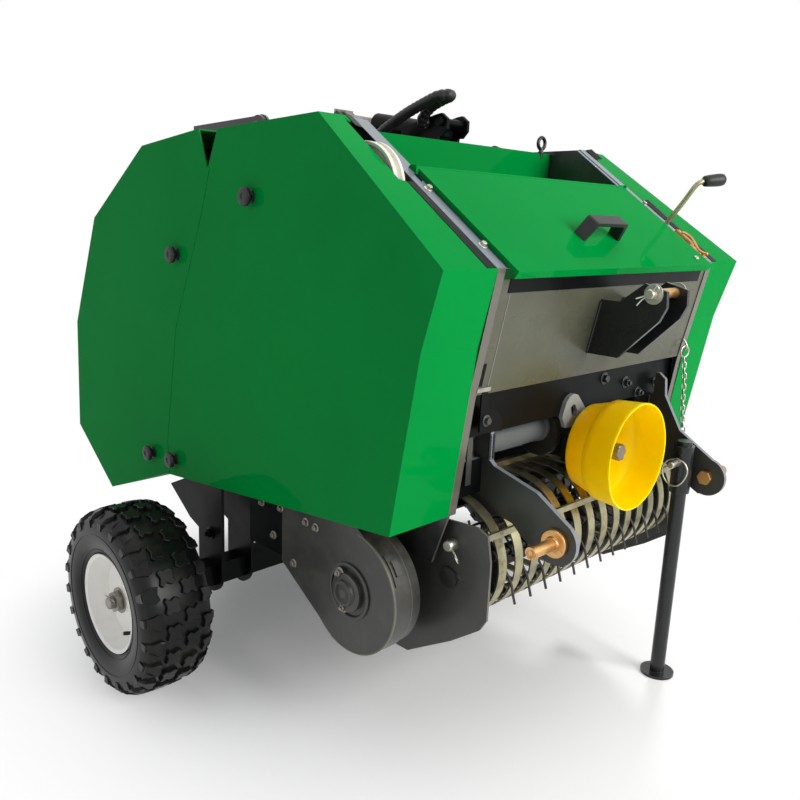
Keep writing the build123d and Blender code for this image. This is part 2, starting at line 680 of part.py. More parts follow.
# Rope wheel on its stub beside the right frame plate
wheel_centre = (-291.0, 1074.0)
with BuildPart() as rope_wheel:
    for low_x, high_x, reach in ((-421.0, -412.0, 82.0), (-412.0, -404.0, 71.0), (-404.0, -395.0, 82.0)):
        add(bar_x(low_x, high_x, *wheel_centre, reach))
    add(bar_x(-frame_out, -395.0, *wheel_centre, 14.0))
save(rope_wheel, "rope_wheel")

# Control lever and lid catch on the left flange, lifting eye on the rear wall
lever_x = 377.0
lever_along = 142.0
grip_y, grip_z = on_slope(lever_along, 118.0)
with BuildPart() as control_lever:
    with BuildSketch(slope_plane):
        with Locations((lever_x, lever_along)):
            Circle(6.0)
    extrude(amount=118.0)
    add(bar_x(lever_x - 10, lever_x + 62, grip_y, grip_z, 12.0))
save(control_lever, "control_lever")

with BuildPart() as lid_catch:
    add(slope_box((lid_ends[1] + 22, 20.0, 0.0), (frame_out - 3, 112.0, 7.0)))
save(lid_catch, "lid_catch")

eye_x = 345.0
with BuildPart() as lifting_eye:
    with BuildSketch(Plane.XY.offset(wall_top)):
        with Locations((eye_x, wall_y - panel_sheet / 2)):
            Circle(7.0)
    extrude(amount=10)
    with BuildSketch(Plane.XZ.offset(-wall_y - 1)):
        with Locations((eye_x, wall_top + 24)):
            Circle(18.0)
            Circle(11.0, mode=Mode.SUBTRACT)
    extrude(amount=8)
save(lifting_eye, "lifting_eye")

# Cylinder that opens the gate, its bracket on the deck and the gate's lug
front_eye = (-85.0, 1212.0)
rear_pin = (250.0, 1262.0)
bracket_gap = 30.0
bracket_sheet = 8.0
cylinder_pin_radius = 8.0
bracket_outline = [(-137, 1218), (-137, 1240), (-120, 1252), (-105, 1250), (5, 1225), (5, deck_z), (-108, deck_z),
                   (-110, 1203), (-122, 1203)]
with BuildPart() as cylinder_bracket:
    for side in (-1, 1):
        add(outline_plate(side * bracket_gap, side * bracket_sheet, bracket_outline))
    add(bar_x(-bracket_gap - 18, bracket_gap + 18, -119.0, 1233.0, 9.0))
    add(bar_x(-bracket_gap, bracket_gap, *front_eye, cylinder_pin_radius))
save(cylinder_bracket, "cylinder_bracket")

reach = hypot(rear_pin[0] - front_eye[0], rear_pin[1] - front_eye[1])
cylinder_plane = Plane(origin=(0, *front_eye), x_dir=(1, 0, 0),
                       z_dir=(0, (rear_pin[0] - front_eye[0]) / reach, (rear_pin[1] - front_eye[1]) / reach))
barrel_start = 16.0
barrel_end = 212.0
barrel_radius = 24.0
rod_radius = 11.0


with BuildPart() as cylinder_barrel:
    with BuildSketch(cylinder_plane.offset(barrel_start)):
        Circle(barrel_radius)
    extrude(amount=barrel_end - barrel_start)
    with BuildSketch(cylinder_plane.offset(barrel_start + 12)):
        Circle(rod_radius + running_gap)
    extrude(amount=barrel_end, mode=Mode.SUBTRACT)
    add(bar_x(-20.0, 20.0, *front_eye, 19.0))
    add(bar_x(-21.0, 21.0, *front_eye, cylinder_pin_radius + running_gap), mode=Mode.SUBTRACT)
save(cylinder_barrel, "cylinder_barrel")

slot_reach = 13.0
eye_outer = 19.0
slot_play = 3.0
with BuildPart() as cylinder_rod:
    with BuildSketch(cylinder_plane.offset(barrel_start + 118)):
        Circle(rod_radius)
    extrude(amount=reach - barrel_start - 118 - 10)
    with BuildSketch(cylinder_plane.offset(reach - 17)):
        Rectangle(24.0, 2 * eye_outer)
    extrude(amount=slot_reach + 17 + 16)
    slot_side = Plane(origin=(-20, *rear_pin), x_dir=(0, (rear_pin[0] - front_eye[0]) / reach,
                      (rear_pin[1] - front_eye[1]) / reach), z_dir=(1, 0, 0))
    with BuildSketch(slot_side):
        with Locations((slot_reach / 2 - 0.5, 0)):
            SlotOverall(slot_reach + 3 + 2 * cylinder_pin_radius + 2 * slot_play, 2 * (cylinder_pin_radius + slot_play))
    extrude(amount=40, mode=Mode.SUBTRACT)
save(cylinder_rod, "cylinder_rod")

# Gate: side plates with hinge arms, the wrap around its back, the shells and the knobs
gate_front = [(y + split_gap / 2, z) for y, z in split_line]
gate_outline = list(reversed(gate_front + gate_edge))


def gate_top_z(y):
    """The height of the gate's flat top at a place along it."""
    (first_y, first_z), (last_y, last_z) = gate_edge[:2]
    return first_z + (last_z - first_z) * (y - first_y) / (last_y - first_y)


with BuildPart() as gate_sides:
    for side in (-1, 1):
        add(outline_plate(side * gate_out, -side * frame_sheet, gate_outline))
        add(outline_plate(side * (gate_out - frame_sheet), side * frame_sheet, [
            (100.0, gate_top_z(100.0)), (313.0, gate_top_z(313.0)), (313.0, 1206.0), (100.0, 1215.0)]))
        arm = outline_plate(side * gate_out, side * gate_arm_sheet, [
            (gate_hinge_y, gate_hinge_z + 22), (gate_hinge_y, gate_hinge_z - 22), (84.0, gate_hinge_z - 22),
            (gate_edge[0][0] - 1, gate_edge[0][1] + 0.5), (gate_edge[0][0] + 1, gate_edge[0][1] + 0.1),
            (313.0, gate_top_z(313.0) + 0.1), (313.0, 1206.0)])
        arm = arm + bar_x(side * gate_out, side * (gate_out + gate_arm_sheet), gate_hinge_y, gate_hinge_z, 24.0)
        add(arm - bar_x(side * gate_out, side * (gate_out + gate_arm_sheet), gate_hinge_y, gate_hinge_z,
                        gate_pin_radius + running_gap))
save(gate_sides, "gate_sides")

wrap_walls = [panel_sheet] * 5 + [-1.0] * 5 + [panel_sheet]
gate_inside = gate_out - frame_sheet
with BuildPart() as gate_wrap:
    add(outline_plate(-gate_inside, 2 * gate_inside, gate_outline))
    add(outline_plate(-gate_inside, 2 * gate_inside, inset(gate_outline, wrap_walls)), mode=Mode.SUBTRACT)
    for side in (-1, 1):
        add(outline_plate(side * 16.0, side * 10.0, [
            (200.0, 1168.8), (236.0, 1270.0), (250.0, 1278.0), (264.0, 1270.0), (300.0, 1157.2)]))
    add(bar_x(-16.0, 16.0, *rear_pin, cylinder_pin_radius))
save(gate_wrap, "gate_wrap")

for side, word in ((-1, "right"), (1, "left")):
    with BuildPart() as gate_shell:
        add(lofted_shell(side, gate_outline, gate_outline, [shell_sheet] * 5 + [-0.1] * 5 + [shell_sheet]))
    save(gate_shell, f"gate_shell_{word}")

with BuildPart() as gate_knobs:
    for side in (-1, 1):
        for knob_y, knob_z in ((190.0, 927.0), (316.0, 455.0)):
            add(bar_x(side * shell_out, side * (shell_out + knob_length), knob_y, knob_z, knob_radius))
save(gate_knobs, "gate_knobs")

# Hose from the deck to the bracket's right plate, with a turn back at its front
hose_radius = 12.5
hose_route = [(-88.0, 30.0, deck_z), (-88.0, 30.0, 1202.0), (-88.0, -60.0, 1248.0), (-88.0, -148.0, 1277.0),
              (-71.0, -170.0, 1282.0), (-54.0, -150.0, 1280.0), (-54.0, -104.0, 1266.0), (-54.0, -72.0, 1232.0),
              (-bracket_gap - bracket_sheet, -72.0, 1232.0)]
with BuildPart() as gate_hose:
    with BuildLine():
        hose_line = Polyline(*hose_route)
    with BuildSketch(Plane(origin=hose_route[0], z_dir=(0, 0, 1))):
        RegularPolygon(hose_radius, 12)
    sweep(path=hose_line, transition=Transition.RIGHT)
save(gate_hose, "gate_hose")

# Link chain from the left flange down to the hitch plate, its links turned by quarters
chain_top = (363.0, -553.0, 742.0)
chain_foot = (363.0, -572.0, 552.0)
chain_links = 11
link_length = 21.5
link_width = 12.0
link_wire = 3.4
hook_z = (746.0, 754.0)


def link_outline(half_width, half_length):
    """An eight-sided ring outline."""
    cut = half_width * 0.55
    return [(half_width, half_length - cut), (half_width - cut, half_length), (cut - half_width, half_length),
            (-half_width, half_length - cut), (-half_width, cut - half_length), (cut - half_width, -half_length),
            (half_width - cut, -half_length), (half_width, cut - half_length)]


with BuildPart() as link_chain:
    for index in range(chain_links):
        share = index / (chain_links - 1)
        middle = [chain_top[i] + (chain_foot[i] - chain_top[i]) * share for i in range(3)]
        turned = index % 2
        with BuildSketch(Plane(origin=middle, x_dir=(turned, 1 - turned, 0),
                               z_dir=(1 - turned, -turned, 0)).offset(-link_wire / 2)):
            with BuildLine():
                Polyline(*link_outline(link_width / 2, link_length / 2), close=True)
            make_face()
            with BuildLine():
                Polyline(*link_outline(link_width / 2 - link_wire, link_length / 2 - link_wire), close=True)
            make_face(mode=Mode.SUBTRACT)
        extrude(amount=link_wire)
    add(outline_plate(chain_top[0] - 4, 8.0, [
        (chain_top[1] - 2, hook_z[0]), (panel_y(hook_z[0], 0.0), hook_z[0]), (panel_y(hook_z[1], 0.0), hook_z[1]),
        (chain_top[1] - 2, hook_z[1])]))
save(link_chain, "link_chain")
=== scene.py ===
# %% [markdown]
# # A small round baler
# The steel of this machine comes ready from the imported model, piece by piece and in metres.
# This lesson adds what a workshop adds after the welding: tyres with tread, bolts, clips, tines,
# chain, hose and above all the paint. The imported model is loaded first, because every later
# piece sits on it.

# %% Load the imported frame
from math import atan2, cos, hypot, pi, radians, sin

import bmesh
import bpy
from mathutils import Matrix, Vector


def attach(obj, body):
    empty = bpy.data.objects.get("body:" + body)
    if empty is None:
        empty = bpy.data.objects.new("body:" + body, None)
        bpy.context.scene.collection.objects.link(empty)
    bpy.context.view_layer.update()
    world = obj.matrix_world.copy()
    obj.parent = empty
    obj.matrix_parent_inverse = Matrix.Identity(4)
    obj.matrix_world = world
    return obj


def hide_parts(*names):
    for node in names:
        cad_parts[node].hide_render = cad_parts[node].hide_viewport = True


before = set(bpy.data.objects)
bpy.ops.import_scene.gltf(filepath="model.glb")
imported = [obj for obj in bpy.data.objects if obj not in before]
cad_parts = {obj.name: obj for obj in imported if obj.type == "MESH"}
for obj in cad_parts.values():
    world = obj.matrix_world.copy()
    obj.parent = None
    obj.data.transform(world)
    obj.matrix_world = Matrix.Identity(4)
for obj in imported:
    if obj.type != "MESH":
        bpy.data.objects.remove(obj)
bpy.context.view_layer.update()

MM = 0.001

# %% [markdown]
# A camera is an object with a lens. Its own -Z points at what it sees and its +Y points up in
# the picture, so three unit directions, written as the columns of a matrix, turn it. They were
# found by fitting the machine's corners to the photograph.

# %% Place the camera
camera_data = bpy.data.cameras.new("photo_camera")
camera_data.sensor_width = 36.0
camera_data.lens = 36.8
camera = bpy.data.objects.new("photo_camera", camera_data)
bpy.context.collection.objects.link(camera)
looks_along = Vector((0.6938, 0.6842, -0.2250)).normalized()
picture_right = Vector((0.7083, -0.7047, 0.0408))
picture_up = picture_right.cross(looks_along).normalized()
picture_right = looks_along.cross(picture_up).normalized()
turn = Matrix((picture_right, picture_up, -looks_along)).transposed().to_4x4()
camera.matrix_world = Matrix.Translation((-1.4361, -1.4068, 1.0374)) @ turn
bpy.context.scene.camera = camera
bpy.context.scene.view_settings.view_transform = "Standard"
print("camera at", [round(v, 3) for v in camera.location])

# %% [markdown]
# The machine stands on a plain pale floor under soft lamps. The floor is one large sheet. Its
# whiteness, and that of the backdrop, must come from their colour and not from more light, so
# the world shows a white colour to the camera and to reflections, and a plain grey to
# everything that it lights. The Light Path node tells these rays apart. The floor fades into
# the same white away from the machine, so no horizon shows.

# %% Make the floor, the world and the lamps
FLOOR_REACH = 14.0
FLOOR_Z = -0.0005
floor_mesh = bpy.data.meshes.new("floor")
floor_mesh.from_pydata([(x * FLOOR_REACH, y * FLOOR_REACH, FLOOR_Z)
                        for x, y in ((-1, -1), (1, -1), (1, 1), (-1, 1))], [], [(0, 1, 2, 3)])
floor = bpy.data.objects.new("floor", floor_mesh)
bpy.context.collection.objects.link(floor)


def srgb(red, green, blue):
    """Turns the eye's 0 to 255 numbers into the linear colour that shaders use."""
    linear = []
    for level in (red / 255, green / 255, blue / 255):
        linear.append(level / 12.92 if level <= 0.04045 else ((level + 0.055) / 1.055) ** 2.4)
    return (*linear, 1.0)


def add_node(tree, kind, inputs=None, **settings):
    """Adds a node. inputs maps a socket's name or number to a value or a node's output."""
    made = tree.nodes.new(kind)
    for key, value in settings.items():
        setattr(made, key, value)
    for key, value in (inputs or {}).items():
        if isinstance(value, bpy.types.NodeSocket):
            tree.links.new(value, made.inputs[key])
        else:
            made.inputs[key].default_value = value
    return made


def seen_plainly(tree):
    """1 for rays from the camera and for rays that a glossy or clear surface sends on."""
    path = add_node(tree, "ShaderNodeLightPath")
    either = add_node(tree, "ShaderNodeMath", {0: path.outputs["Is Camera Ray"],
                                               1: path.outputs["Is Glossy Ray"]},
                      operation="MAXIMUM")
    return add_node(tree, "ShaderNodeMath", {0: either.outputs[0],
                                             1: path.outputs["Is Transmission Ray"]},
                    operation="MAXIMUM").outputs[0]


WORLD_STRENGTH = 0.43
FADE_START, FADE_END = 0.4, 1.1
WHITE = srgb(255, 255, 255)
world = bpy.data.worlds.new("studio")
bpy.context.scene.world = world
world.use_nodes = True
world_tree = world.node_tree
world_tree.nodes.clear()
lit = add_node(world_tree, "ShaderNodeBackground",
               {"Color": (0.84, 0.86, 0.90, 1.0), "Strength": WORLD_STRENGTH})
seen = add_node(world_tree, "ShaderNodeBackground", {"Color": WHITE, "Strength": 1.0})
world_mix = add_node(world_tree, "ShaderNodeMixShader",
                     {0: seen_plainly(world_tree), 1: lit.outputs[0], 2: seen.outputs[0]})
add_node(world_tree, "ShaderNodeOutputWorld", {"Surface": world_mix.outputs[0]})

floor_material = bpy.data.materials.new("pale_floor")
floor_material.use_nodes = True
floor_tree = floor_material.node_tree
floor_shader = floor_tree.nodes["Principled BSDF"]
floor_shader.inputs["Base Color"].default_value = srgb(250, 250, 250)
floor_shader.inputs["Roughness"].default_value = 0.9
floor_shader.inputs["Specular IOR Level"].default_value = 0.05
floor_place = add_node(floor_tree, "ShaderNodeNewGeometry").outputs["Position"]
from_middle = add_node(floor_tree, "ShaderNodeVectorMath", {0: floor_place},
                       operation="LENGTH").outputs["Value"]
fading = add_node(floor_tree, "ShaderNodeMapRange",
                  {"Value": from_middle, "From Min": FADE_START, "From Max": FADE_END},
                  interpolation_type="SMOOTHSTEP").outputs["Result"]
fade = add_node(floor_tree, "ShaderNodeMath", {0: fading, 1: seen_plainly(floor_tree)},
                operation="MULTIPLY")
far_white = add_node(floor_tree, "ShaderNodeEmission", {"Color": WHITE, "Strength": 1.0})
floor_mix = add_node(floor_tree, "ShaderNodeMixShader",
                     {0: fade.outputs[0], 1: floor_shader.outputs[0], 2: far_white.outputs[0]})
floor_tree.links.new(floor_mix.outputs[0], floor_tree.nodes["Material Output"].inputs["Surface"])
floor_mesh.materials.append(floor_material)


def add_lamp(name, place, aim, size, watts, tint):
    """A square soft lamp at place, turned towards aim."""
    data = bpy.data.lights.new(name, "AREA")
    data.size = size
    data.energy = watts
    data.color = tint
    lamp = bpy.data.objects.new(name, data)
    bpy.context.collection.objects.link(lamp)
    lamp.location = place
    lamp.rotation_euler = (Vector(aim) - Vector(place)).to_track_quat("-Z", "Y").to_euler()
    return lamp


MACHINE_MIDDLE = (0.0, 0.0, 0.6)
key_lamp = add_lamp("key_lamp", (3.3, 0.75, 3.5), MACHINE_MIDDLE, 0.7, 84.0, (1.0, 0.99, 0.96))
key_lamp.visible_glossy = False
add_lamp("front_lamp", (0.9, -4.6, 2.6), MACHINE_MIDDLE, 3.0, 243.0, (1.0, 0.99, 0.97))
add_lamp("top_lamp", (0.3, 0.6, 4.8), MACHINE_MIDDLE, 3.2, 35.0, (1.0, 1.0, 1.0))
add_lamp("side_lamp", (-4.4, 0.9, 2.0), MACHINE_MIDDLE, 2.4, 16.0, (0.96, 0.98, 1.0))
print("floor, world and", len(bpy.data.lights), "lamps")

# %% [markdown]
# Paint on farm steel is never one flat colour. Four effects come back in many finishes here:
# broad cloudy shading, dust that settles on surfaces that look up, the pale line where paint
# wears thin along an edge, and a fine ripple in the film. Faces that look sideways may also take
# a second colour, the plate's own dark one, while its faces that look up, forward or back keep a
# lighter colour: a painted highlight for edges and flanges that catch the light. All are built
# once, as a node group with named inputs, and each material places that group with its own
# numbers. The edge line compares the true normal with one that a Bevel node has softened: they
# differ only near edges.

# %% Build the node group for painted surfaces
def new_group(name, inputs, outputs):
    """An empty shader group with typed sockets: (label, kind, value) and (label, kind)."""
    group = bpy.data.node_groups.new(name, "ShaderNodeTree")
    for label, kind, value in inputs:
        group.interface.new_socket(label, in_out="INPUT", socket_type=kind).default_value = value
    for label, kind in outputs:
        group.interface.new_socket(label, in_out="OUTPUT", socket_type=kind)
    given = add_node(group, "NodeGroupInput").outputs
    return group, given, add_node(group, "NodeGroupOutput").inputs


COLOR, FLOAT = "NodeSocketColor", "NodeSocketFloat"


def noise(tree, place, scale, detail=3.0, roughness=0.55):
    return add_node(tree, "ShaderNodeTexNoise", {"Vector": place, "Scale": scale, "Detail": detail,
                                                 "Roughness": roughness}).outputs["Fac"]


def remap(tree, value, low, high, to_low=0.0, to_high=1.0):
    """Stretches value from low..high to to_low..to_high and stops it there."""
    return add_node(tree, "ShaderNodeMapRange",
                    {"Value": value, "From Min": low, "From Max": high, "To Min": to_low,
                     "To Max": to_high},
                    interpolation_type="SMOOTHSTEP").outputs["Result"]


def times(tree, first, second):
    return add_node(tree, "ShaderNodeMath", {0: first, 1: second}, operation="MULTIPLY").outputs[0]


def plus(tree, first, second):
    return add_node(tree, "ShaderNodeMath", {0: first, 1: second}, operation="ADD").outputs[0]


def mixed(tree, share, first, second):
    return add_node(tree, "ShaderNodeMix", {0: share, 6: first, 7: second},
                    data_type="RGBA").outputs[2]


def shaded(tree, colour, value):
    """The colour made lighter or darker by a factor near 1."""
    return add_node(tree, "ShaderNodeHueSaturation",
                    {"Color": colour, "Value": value}).outputs["Color"]


paint_group, given, result = new_group(
    "painted_surface",
    [("Paint", COLOR, (0.5, 0.5, 0.5, 1)), ("Worn", COLOR, (0.5, 0.5, 0.5, 1)),
     ("Dust", COLOR, (0.3, 0.25, 0.2, 1)),
     ("Dust Amount", FLOAT, 0.2), ("Wear Amount", FLOAT, 0.2), ("Edge Width", FLOAT, 0.002),
     ("Roughness", FLOAT, 0.3), ("Cloud", FLOAT, 0.06),
     ("Side Paint", COLOR, (0.01, 0.01, 0.01, 1)),
     ("Side Amount", FLOAT, 0.0)],
    [("Color", COLOR), ("Roughness", FLOAT), ("Height", FLOAT)])
coords = add_node(paint_group, "ShaderNodeTexCoord").outputs
cloud = remap(paint_group, noise(paint_group, coords["Object"], 3.2), 0.3, 0.7, -1.0, 1.0)
level = plus(paint_group, times(paint_group, cloud, given["Cloud"]), 1.0)
bevel = add_node(paint_group, "ShaderNodeBevel", {"Radius": given["Edge Width"]},
                 samples=4).outputs[0]
true_normal = add_node(paint_group, "ShaderNodeNewGeometry").outputs["Normal"]
agreement = add_node(paint_group, "ShaderNodeVectorMath", {0: bevel, 1: true_normal},
                     operation="DOT_PRODUCT")
edge = remap(paint_group, agreement.outputs["Value"], 0.995, 0.86)
chips = remap(paint_group, noise(paint_group, coords["Object"], 70.0, 4.0, 0.7), 0.35, 0.62)
wear = times(paint_group, times(paint_group, edge, chips), given["Wear Amount"])
facing = add_node(paint_group, "ShaderNodeSeparateXYZ", {0: coords["Normal"]}).outputs
upward = facing["Z"]
# Sideways faces take the Side Paint. In a finish that uses it, the Paint left on the other faces
# is a painted highlight for edges that catch the light.
sideways = add_node(paint_group, "ShaderNodeMath", {0: facing["X"]},
                    operation="ABSOLUTE").outputs[0]
side_share = times(paint_group, remap(paint_group, sideways, 0.8, 0.95), given["Side Amount"])
paint_and_edge_highlight = mixed(paint_group, side_share, given["Paint"], given["Side Paint"])
settled = remap(paint_group, upward, -0.35, 1.0, 0.18, 1.0)
patches = remap(paint_group, noise(paint_group, coords["Object"], 22.0, 6.0, 0.65), 0.38, 0.72)
dust = times(paint_group, times(paint_group, settled, patches), given["Dust Amount"])
coloured = mixed(paint_group, dust, shaded(paint_group, paint_and_edge_highlight, level), given["Dust"])
paint_group.links.new(mixed(paint_group, wear, coloured, given["Worn"]), result["Color"])
smear = remap(paint_group, noise(paint_group, coords["Object"], 14.0, 4.0), 0.3, 0.75, -0.05, 0.08)
rough = plus(paint_group, plus(paint_group, given["Roughness"], smear),
             times(paint_group, dust, 0.45))
paint_group.links.new(plus(paint_group, rough, times(paint_group, wear, 0.15)),
                      result["Roughness"])
ripple = noise(paint_group, coords["Object"], 260.0, 2.0)
paint_group.links.new(plus(paint_group, times(paint_group, ripple, 0.5),
                           times(paint_group, dust, 0.8)),
                      result["Height"])
print("group painted_surface with", len(paint_group.nodes), "nodes")

# %% [markdown]
# Bare metal and rubber need two more groups. Plated steel shows soft blooms of lighter and
# darker zinc and faint lines along the direction in which it was rolled. Rubber and moulded
# plastic show a fine grain and greyish dust that has been rubbed off the high places.

# %% Build the node groups for metal and for rubber
metal_group, given, result = new_group(
    "bare_metal",
    [("Metal", COLOR, (0.6, 0.6, 0.6, 1)), ("Bloom", COLOR, (0.5, 0.45, 0.3, 1)),
     ("Grime", COLOR, (0.05, 0.04, 0.03, 1)),
     ("Bloom Scale", FLOAT, 40.0), ("Bloom Amount", FLOAT, 0.5), ("Grime Amount", FLOAT, 0.3),
     ("Roughness", FLOAT, 0.35), ("Line Scale", FLOAT, 1.0)],
    [("Color", COLOR), ("Roughness", FLOAT), ("Height", FLOAT)])
coords = add_node(metal_group, "ShaderNodeTexCoord").outputs
cells = add_node(metal_group, "ShaderNodeTexVoronoi",
                 {"Vector": coords["Object"], "Scale": given["Bloom Scale"]})
spangle = add_node(metal_group, "ShaderNodeSeparateColor", {0: cells.outputs["Color"]}).outputs[0]
soft = remap(metal_group, noise(metal_group, coords["Object"], 18.0, 4.0), 0.3, 0.7)
blotches = plus(metal_group, times(metal_group, spangle, 0.5), soft)
bloom = times(metal_group, times(metal_group, blotches, 0.67), given["Bloom Amount"])
grimy = remap(metal_group, noise(metal_group, coords["Object"], 45.0, 6.0, 0.7), 0.5, 0.75)
stain = times(metal_group, grimy, given["Grime Amount"])
tinted = mixed(metal_group, bloom, given["Metal"], given["Bloom"])
metal_group.links.new(mixed(metal_group, stain, tinted, given["Grime"]), result["Color"])
stretch = add_node(metal_group, "ShaderNodeMapping",
                   {"Vector": coords["Object"], "Scale": (40.0, 900.0, 900.0)})
lines = noise(metal_group, stretch.outputs[0], given["Line Scale"], 2.0)
rough = plus(metal_group, given["Roughness"], times(metal_group, stain, 0.35))
metal_group.links.new(plus(metal_group, rough, times(metal_group, spangle, 0.08)),
                      result["Roughness"])
metal_group.links.new(plus(metal_group, lines, times(metal_group, stain, 0.6)), result["Height"])

rubber_group, given, result = new_group(
    "grained_polymer",
    [("Base", COLOR, (0.02, 0.02, 0.02, 1)), ("Dust", COLOR, (0.2, 0.17, 0.13, 1)),
     ("Dust Amount", FLOAT, 0.3),
     ("Roughness", FLOAT, 0.55), ("Grain Scale", FLOAT, 900.0)],
    [("Color", COLOR), ("Roughness", FLOAT), ("Height", FLOAT)])
coords = add_node(rubber_group, "ShaderNodeTexCoord").outputs
patchy = remap(rubber_group, noise(rubber_group, coords["Object"], 16.0, 6.0, 0.65), 0.42, 0.74)
dusty = times(rubber_group, patchy, given["Dust Amount"])
rubber_group.links.new(mixed(rubber_group, dusty, given["Base"], given["Dust"]), result["Color"])
rubber_group.links.new(plus(rubber_group, given["Roughness"], times(rubber_group, dusty, 0.35)),
                       result["Roughness"])
grain = noise(rubber_group, coords["Object"], given["Grain Scale"], 3.0)
rubber_group.links.new(grain, result["Height"])
print("groups bare_metal and grained_polymer")

# %% [markdown]
# One helper makes every finish. The group feeds colour, roughness and bump. All that is the
# same over the whole surface, such as coat or metallic, is set on the Principled shader's own
# sockets, where the export can read it. The finishes themselves are rows of three tables, one
# for each group, with colours as the eye's 0 to 255 numbers.

# %% Make the finishes
finishes = {}
GLOW_RADIUS, GLOW_DEPTH = (1.0, 0.6, 0.1), 0.02


def make_finish(name, group, values, bump=0.12, depth=0.0003, metallic=0.0, coat=0.0,
                coat_roughness=0.08, specular=0.5, glow=0.0):
    """Makes a material from a group. values maps the group's inputs to numbers and colours."""
    material = bpy.data.materials.new(name)
    material.use_nodes = True
    tree = material.node_tree
    shader = tree.nodes["Principled BSDF"]
    surface = add_node(tree, "ShaderNodeGroup", node_tree=group)
    for label, value in values.items():
        surface.inputs[label].default_value = srgb(*value) if isinstance(value, tuple) else value
    tree.links.new(surface.outputs["Color"], shader.inputs["Base Color"])
    tree.links.new(surface.outputs["Roughness"], shader.inputs["Roughness"])
    bumps = add_node(tree, "ShaderNodeBump", {"Strength": bump, "Distance": depth,
                                              "Height": surface.outputs["Height"]})
    tree.links.new(bumps.outputs[0], shader.inputs["Normal"])
    for label, value in (("Metallic", metallic), ("Coat Weight", coat),
                         ("Coat Roughness", coat_roughness), ("Specular IOR Level", specular),
                         ("Subsurface Weight", glow), ("Subsurface Radius", GLOW_RADIUS),
                         ("Subsurface Scale", GLOW_DEPTH)):
        shader.inputs[label].default_value = value
    finishes[name] = material


FIELD_DUST = (128, 120, 100)
PAINT_COLUMNS = ("Paint", "Worn", "Dust", "Dust Amount", "Wear Amount", "Edge Width", "Roughness",
                 "Cloud", "Side Paint", "Side Amount")
painted = {
    "green_paint": ((0, 132, 55), (40, 150, 84), (36, 128, 80), 0.05, 0.35, 0.0016, 0.3, 0.04),
    "black_paint": ((24, 28, 28), (140, 145, 152), FIELD_DUST, 0.08, 0.6, 0.0015, 0.3, 0.1),
    # The next row is black paint darkened further: painted shade for the beams, axle legs and
    # cylinder that stand in shade
    "shade_darkened_black": ((9, 12, 13), (52, 54, 56), (44, 43, 38), 0.08, 0.35, 0.0012, 0.35, 0.15),
    "case_black": ((40, 41, 38), (95, 95, 94), FIELD_DUST, 0.3, 0.35, 0.0012, 0.42, 0.2),
    "panel_black": ((77, 79, 65), (120, 118, 110), FIELD_DUST, 0.35, 0.3, 0.0015, 0.27, 0.14),
    "edge_grey": ((112, 112, 116), (180, 180, 186), FIELD_DUST, 0.25, 0.3, 0.001, 0.34, 0.16),
    # Where a row gives a Side Paint, its Paint is a painted highlight on the faces that do not
    # look sideways, and the Side Paint is the plate's own colour
    "flange_grey": ((84, 81, 71), (160, 160, 160), FIELD_DUST, 0.2, 0.3, 0.001, 0.34, 0.16,
                    (20, 23, 25), 1.0),
    "slope_grey": ((112, 120, 130), (180, 182, 186), FIELD_DUST, 0.1, 0.3, 0.001, 0.3, 0.08),
    "plate_painted_highlight": ((120, 124, 132), (170, 172, 178), FIELD_DUST, 0.12, 0.2, 0.0012, 0.4, 0.14,
                   (47, 49, 44), 1.0),
    "cover_painted_highlight": ((88, 86, 78), (130, 130, 126), FIELD_DUST, 0.2, 0.25, 0.0012, 0.4, 0.2,
                   (44, 46, 42), 1.0),
    "strap_olive": ((86, 84, 70), (140, 138, 126), FIELD_DUST, 0.2, 0.5, 0.0012, 0.35, 0.2),
    "yellow_plastic": ((255, 208, 0), (255, 220, 60), (240, 150, 10), 0.1, 0.2, 0.002, 0.3, 0.03),
    "cast_grey": ((95, 101, 102), (150, 154, 154), (60, 62, 60), 0.35, 0.5, 0.002, 0.42, 0.16),
    "ear_grey": ((140, 143, 138), (190, 192, 190), (70, 72, 68), 0.3, 0.5, 0.002, 0.35, 0.16),
    "rim_cream": ((254, 252, 246), (190, 182, 170), (200, 188, 160), 0.1, 0.2, 0.002, 0.4, 0.05),
    "white_nylon": ((232, 228, 214), (240, 236, 226), (150, 145, 120), 0.3, 0.1, 0.002, 0.45,
                    0.06),
}
METAL_COLUMNS = ("Metal", "Bloom", "Grime", "Bloom Scale", "Bloom Amount", "Grime Amount",
                 "Roughness")
metals = {
    "galvanised": ((150, 146, 118), (204, 196, 156), (44, 42, 28), 55.0, 0.5, 0.6, 0.34),
    "zinc_gold": ((205, 150, 96), (226, 186, 120), (110, 62, 36), 90.0, 0.7, 0.5, 0.3),
    "zinc_bright": ((190, 192, 190), (214, 206, 170), (84, 80, 70), 120.0, 0.5, 0.35, 0.28),
    "shaft_steel": ((150, 148, 142), (120, 112, 98), (66, 58, 46), 60.0, 0.6, 0.5, 0.38),
    "spring_black": ((58, 58, 58), (92, 90, 84), (40, 36, 30), 80.0, 0.5, 0.4, 0.4),
}
RUBBER_COLUMNS = ("Base", "Dust", "Dust Amount", "Roughness", "Grain Scale")
rubbers = {
    "tyre_rubber": ((14, 16, 16), (78, 72, 58), 0.16, 0.28, 700.0),
    "black_plastic": ((27, 28, 30), (100, 96, 88), 0.2, 0.42, 1200.0),
}
